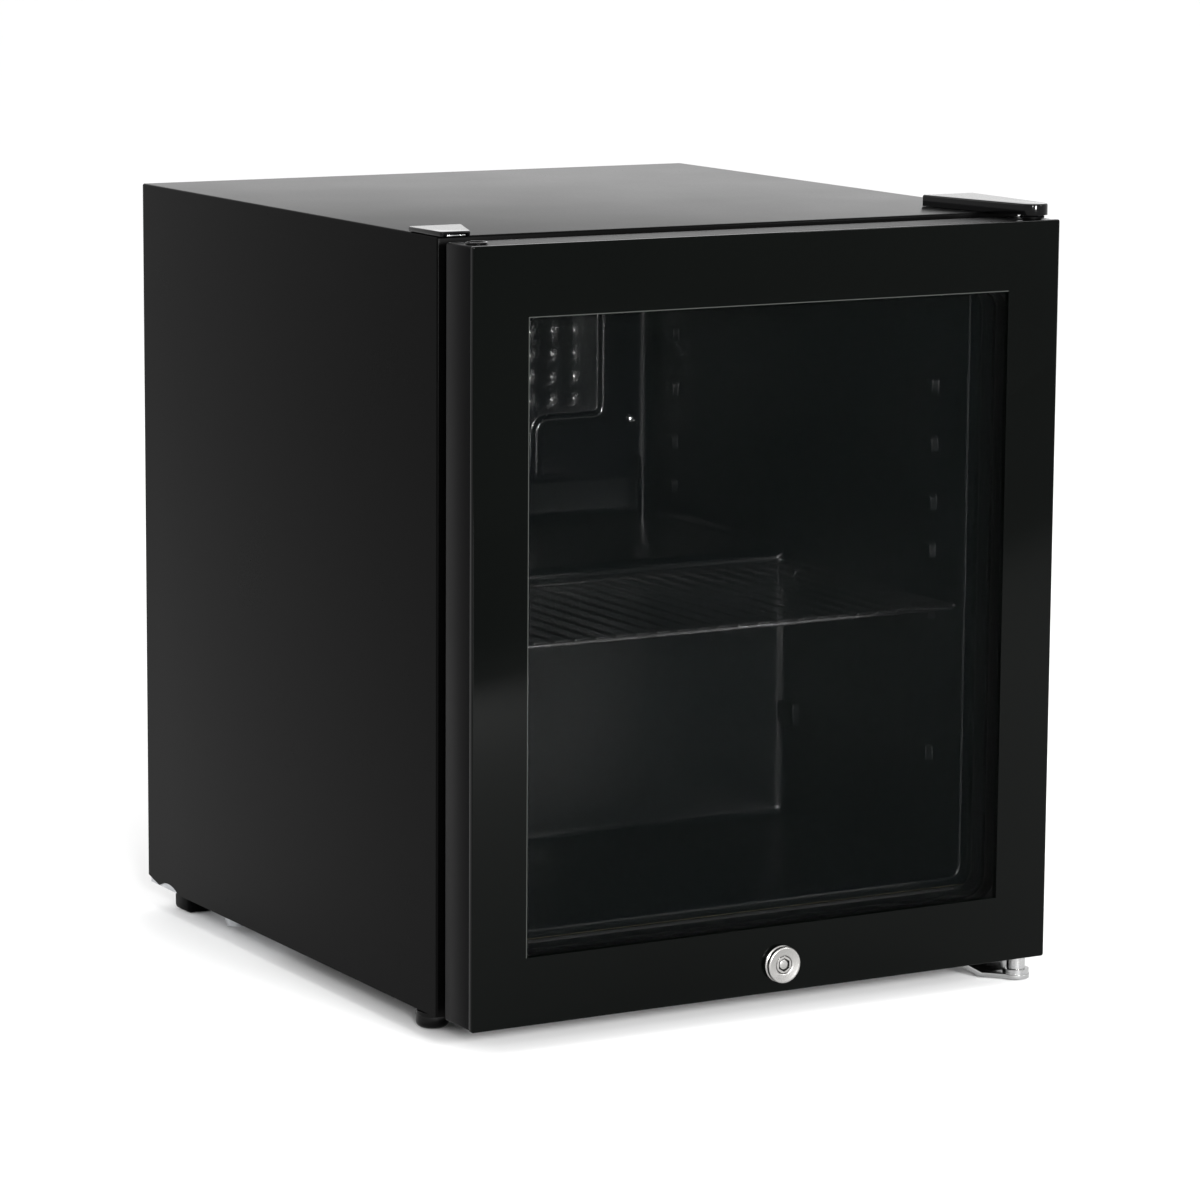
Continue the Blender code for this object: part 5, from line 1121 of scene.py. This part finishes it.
# %% Bend the condenser
COIL_HALF, COIL_RADIUS, COIL_WIRE = SHELL_HIGH.x - 0.065, 0.0025, 0.0007
COIL_LOW, COIL_HIGH, COIL_RUNS, COIL_WIRES = 0.250, 0.460, 7, 22
COIL_BACK = DEPTH + 0.016 - COIL_RADIUS - 2 * COIL_WIRE
coil_corners = []
for run in range(COIL_RUNS):
    z = COIL_LOW + run * (COIL_HIGH - COIL_LOW) / (COIL_RUNS - 1)
    side = -1 if run % 2 == 0 else 1
    coil_corners += [at(side * COIL_HALF, COIL_BACK, z), at(-side * COIL_HALF, COIL_BACK, z)]
coil = bent_tube(coil_corners, COIL_RADIUS, 0.015, 3)
span = COIL_HALF - 0.014
wire_sets = []
for back in (COIL_BACK - COIL_RADIUS - COIL_WIRE * 0.6, COIL_BACK + COIL_RADIUS + COIL_WIRE * 0.6):
    comb = rod(at(-span, back, COIL_LOW - 0.008), at(-span, back, COIL_HIGH + 0.008), COIL_WIRE, 8)
    wire_sets.append(repeat(comb, COIL_WIRES, (2 * span / (COIL_WIRES - 1), 0, 0)))
weld(coil, *wire_sets)
done(coil, "condenser_coil_welded", "black_wire", "condenser_coil", angle=50)
for level in ("lower", "upper"):
    for _, label in SIDES:
        eased(f"condenser_clip_{level}_{label}", f"coil_clip_{level}_{label}", "black_plastic", 0)

# %% [markdown]
# The compressor is a welded steel pot. A turned profile gives its domed ends and the raised
# seam where the halves meet. It stands on a stamped foot plate, on four rubber bushes.

# %% Weld the compressor
SHELL_X, SHELL_BACK, SHELL_RADIUS = -0.045, DEPTH - 0.092, 0.056
POT_LOW, POT_TOP, SEAM_LOW, SEAM_HIGH = 0.036, 0.150, 0.088, 0.096
MOUNT_X, MOUNT_BACK, MOUNT_EDGE = SHELL_RADIUS + 0.006, SHELL_RADIUS - 0.014, 0.014
DOME_REACH, DOME_RISE = 0.026, 0.024
pot_foot = at(SHELL_X, SHELL_BACK, 0.0)


def dome_end(z, towards):
    """Half of a domed end, from the side wall to the axis, as (radius, height)."""
    turns = [radians(90 * k / 8) for k in range(9)]
    return [(SHELL_RADIUS - DOME_REACH * (1 - cos(t)), z - towards * DOME_RISE * (1 - sin(t)))
        for t in turns]


lower = dome_end(POT_LOW, -1)[::-1]
upper = dome_end(POT_TOP, 1)
seam = SHELL_RADIUS + 0.002
pot = turned([(0.0, POT_LOW)] + lower + [(SHELL_RADIUS, SEAM_LOW), (seam - 0.0006, SEAM_LOW + 0.0003),
    (seam, SEAM_LOW + 0.0012), (seam, SEAM_HIGH - 0.0012), (seam - 0.0006, SEAM_HIGH - 0.0003),
    (SHELL_RADIUS, SEAM_HIGH)] + upper + [(0.0, POT_TOP)], pot_foot, (0, 0, 1), 72)
reach = MOUNT_BACK + MOUNT_EDGE
base = block(MOUNT_X + MOUNT_EDGE, (SHELL_BACK - reach, SHELL_BACK + reach),
    (POT_LOW - 0.001, POT_LOW + 0.002), SHELL_X)
ease(base, MOUNT_EDGE - 0.002, 6, lambda place, way: abs(way.z) > 0.9)
soften(base, 0.0006, 2)
weld(pot, base)
for x_side, x_label in SIDES:
    for y_side, y_label in ((-1, "front"), (1, "rear")):
        spot = pot_foot + Vector((x_side * MOUNT_X, y_side * MOUNT_BACK, 0))
        carve(pot, rod(spot, spot + Vector((0, 0, POT_LOW + 0.0055)), 0.0075, 24))
        label = f"{x_label}_{y_label}"
        neck, top, foot_z = POT_LOW - 0.0013, POT_LOW + 0.004, 0.0187
        bush = turned([(0.0033, foot_z), (0.0104, foot_z), (0.011, foot_z + 0.0006),
            (0.0108, foot_z + 0.004), (0.0098, foot_z + 0.005), (0.0098, foot_z + 0.007),
            (0.0107, foot_z + 0.008), (0.0104, neck - 0.0005), (0.0099, neck), (0.007, neck),
            (0.007, top - 0.0006), (0.0064, top), (0.0033, top)], spot, (0, 0, 1), 40)
        done(bush, f"rubber_bush_{label}", "grey_rubber", f"grommet_{label}")
done(pot, "compressor_pot", "compressor_black", "compressor", angle=40)
eased("relay_cover", "relay_cover_moulded", "black_plastic")

# %% [markdown]
# Copper pipes join the compressor, the condenser, the drier and the evaporator. Each is a
# bent tube along the corners of its route. The drier is a spun copper capsule whose ends are
# drawn down on to the pipes.

# %% Bend the pipes
CELL_FRONT = HUMP_FRONT + 0.028                 # front wall of the compressor compartment
CELL_TOP = HUMP_TOP - 0.034
PIPE, THIN_PIPE = 0.0035, 0.0012
SUCTION_BACK, PORT_Z = CAVITY_BACK + 0.010, 0.120
DRIER_X, DRIER_BACK, DRIER_LOW, DRIER_HIGH = 0.065 - SHELL_HIGH.x, DEPTH - 0.040, 0.052, 0.146
OUTLET_X, RISER_X, RISER_BACK = -COIL_HALF - 0.014, COIL_HALF + 0.014, DEPTH - 0.014


def pipe(name, node, corners, radius, bend=0.008, sides=3, slot="copper"):
    """A finished pipe, given by its corners as (x, distance behind the door's front, z)."""
    done(bent_tube([at(*c) for c in corners], radius, bend, sides), name, slot, node, angle=60)


pipe("suction_pipe", "suction_tube", [(CHANNEL_FOOT_X, CAVITY_BACK + 0.001, SUCTION_Z),
    (CHANNEL_FOOT_X, SUCTION_BACK, SUCTION_Z), (CHANNEL_FOOT_X, SUCTION_BACK, PORT_Z),
    (CHANNEL_FOOT_X, SHELL_BACK, PORT_Z), (SHELL_X + SHELL_RADIUS + GAP, SHELL_BACK, PORT_Z)], PIPE)
pipe("condenser_outlet_pipe", "condenser_outlet_tube", [(-COIL_HALF - GAP, COIL_BACK, COIL_LOW),
    (OUTLET_X, COIL_BACK, COIL_LOW), (OUTLET_X, COIL_BACK, DRIER_HIGH + 0.039),
    (DRIER_X, DRIER_BACK, DRIER_HIGH + 0.039), (DRIER_X, DRIER_BACK, DRIER_HIGH + GAP)], COIL_RADIUS)
pipe("capillary_pipe", "capillary_tube", [(DRIER_X, DRIER_BACK, DRIER_LOW - GAP),
    (DRIER_X, DRIER_BACK, 0.030), (DRIER_X, CELL_FRONT + 0.028, 0.030), (0.050, CELL_FRONT + 0.028, 0.030),
    (0.050, CELL_FRONT + 0.028, 0.200), (0.050, SUCTION_BACK, 0.200),
    (CHANNEL_FOOT_X - PIPE - GAP, SUCTION_BACK, 0.200)], THIN_PIPE, 0.010, 2)
pipe("discharge_pipe", "discharge_tube", [(SHELL_X, SHELL_BACK + SHELL_RADIUS + GAP, 0.112),
    (SHELL_X, RISER_BACK - 0.004, 0.112), (SHELL_X + 0.035, RISER_BACK, 0.085),
    (RISER_X - 0.054, RISER_BACK, 0.085), (RISER_X, COIL_BACK, 0.110), (RISER_X, COIL_BACK, COIL_HIGH),
    (COIL_HALF + GAP, COIL_BACK, COIL_HIGH)], COIL_RADIUS)
half_drier = [(0.0, 0.0), (PIPE - 0.0004, 0.0), (PIPE, 0.0006), (PIPE, 0.007), (0.0042, 0.010),
    (0.0076, 0.0135), (0.0092, 0.0165), (0.0095, 0.020)]
upper_half = [(r, DRIER_HIGH - h) for r, h in reversed(half_drier)]
drier = turned([(r, DRIER_LOW + h) for r, h in half_drier] + upper_half, at(DRIER_X, DRIER_BACK, 0.0),
    (0, 0, 1), 40)
done(drier, "drier_capsule", "copper", "filter_drier", angle=50)
sleeve_z = CELL_TOP - 0.026
pipe("sensor_sleeve", "sensor_tube", [(SENSOR_X, SENSOR_BACK, HUMP_TOP + 0.044),
    (SENSOR_X, SENSOR_BACK, sleeve_z), (0.155 + GAP, SENSOR_BACK, sleeve_z)], 0.003, 0.006,
    slot="evaporator_black")

# %% [markdown]
# The thermostat sits in a small box at the lower back. Its knob is a pale moulding with a
# raised grip, and plain numbers on the box round it say how cold it will be. Text is made a
# mesh and laid just proud of the box.

# %% Mould the thermostat
CONTROL_X, CONTROL_Z, CONTROL_BACK = SHELL_HIGH.x - 0.080, CELL_TOP - 0.034, DEPTH - 0.004
knob_point = at(CONTROL_X, CONTROL_BACK, CONTROL_Z)
knob = turned([(0.0, -0.007), (0.003, -0.007), (0.003, 2 * GAP), (0.0131, 2 * GAP), (0.0135, 0.0010),
    (0.0135, 0.0026), (0.0131, 0.0031), (0.0122, 0.0036), (0.0112, 0.0098), (0.0106, 0.0109),
    (0.0096, 0.0115), (0.0, 0.0115)], knob_point, (0, 1, 0), 64)
grip = block(0.0016, (CONTROL_BACK + 0.008, CONTROL_BACK + 0.0150), (CONTROL_Z - 0.010, CONTROL_Z + 0.010),
    CONTROL_X)
soften(grip, 0.0008, 3)
weld(knob, grip)
done(knob, "thermostat_knob_moulded", "white_plastic", "thermostat_knob", body="knob", angle=35)
eased("thermostat_box", "thermostat_housing", "black_plastic", 0.0003)
eased("cable_gland", "cord_gland", "black_plastic", 0.0003)

# %% Print the thermostat's numbers
NUMBER_RING, NUMBER_SIZE, NUMBER_THICK = 0.0168, 0.0042, 0.00012
numbers = []
for index in range(7):
    turn = radians(45 * index)
    deselect()
    bpy.ops.object.text_add(location=knob_point + Vector((NUMBER_RING * sin(turn), NUMBER_THICK,
        NUMBER_RING * cos(turn) - NUMBER_SIZE / 3)), rotation=(radians(90), 0, radians(180)))
    digit = bpy.context.object
    digit.data.body, digit.data.size, digit.data.extrude = str(index), NUMBER_SIZE, NUMBER_THICK
    digit.data.align_x = "CENTER"
    bpy.ops.object.convert(target="MESH")
    numbers.append(settle())
done(join(numbers), "thermostat_numbers", "white_plastic", angle=30)
mark = block(0.0004, (CONTROL_BACK + 0.0148, CONTROL_BACK + 0.0151), (CONTROL_Z + 0.004, CONTROL_Z + 0.009),
    CONTROL_X)
soften(mark, 0.0001, 1)
done(mark, "knob_mark", "black_plastic", body="knob")
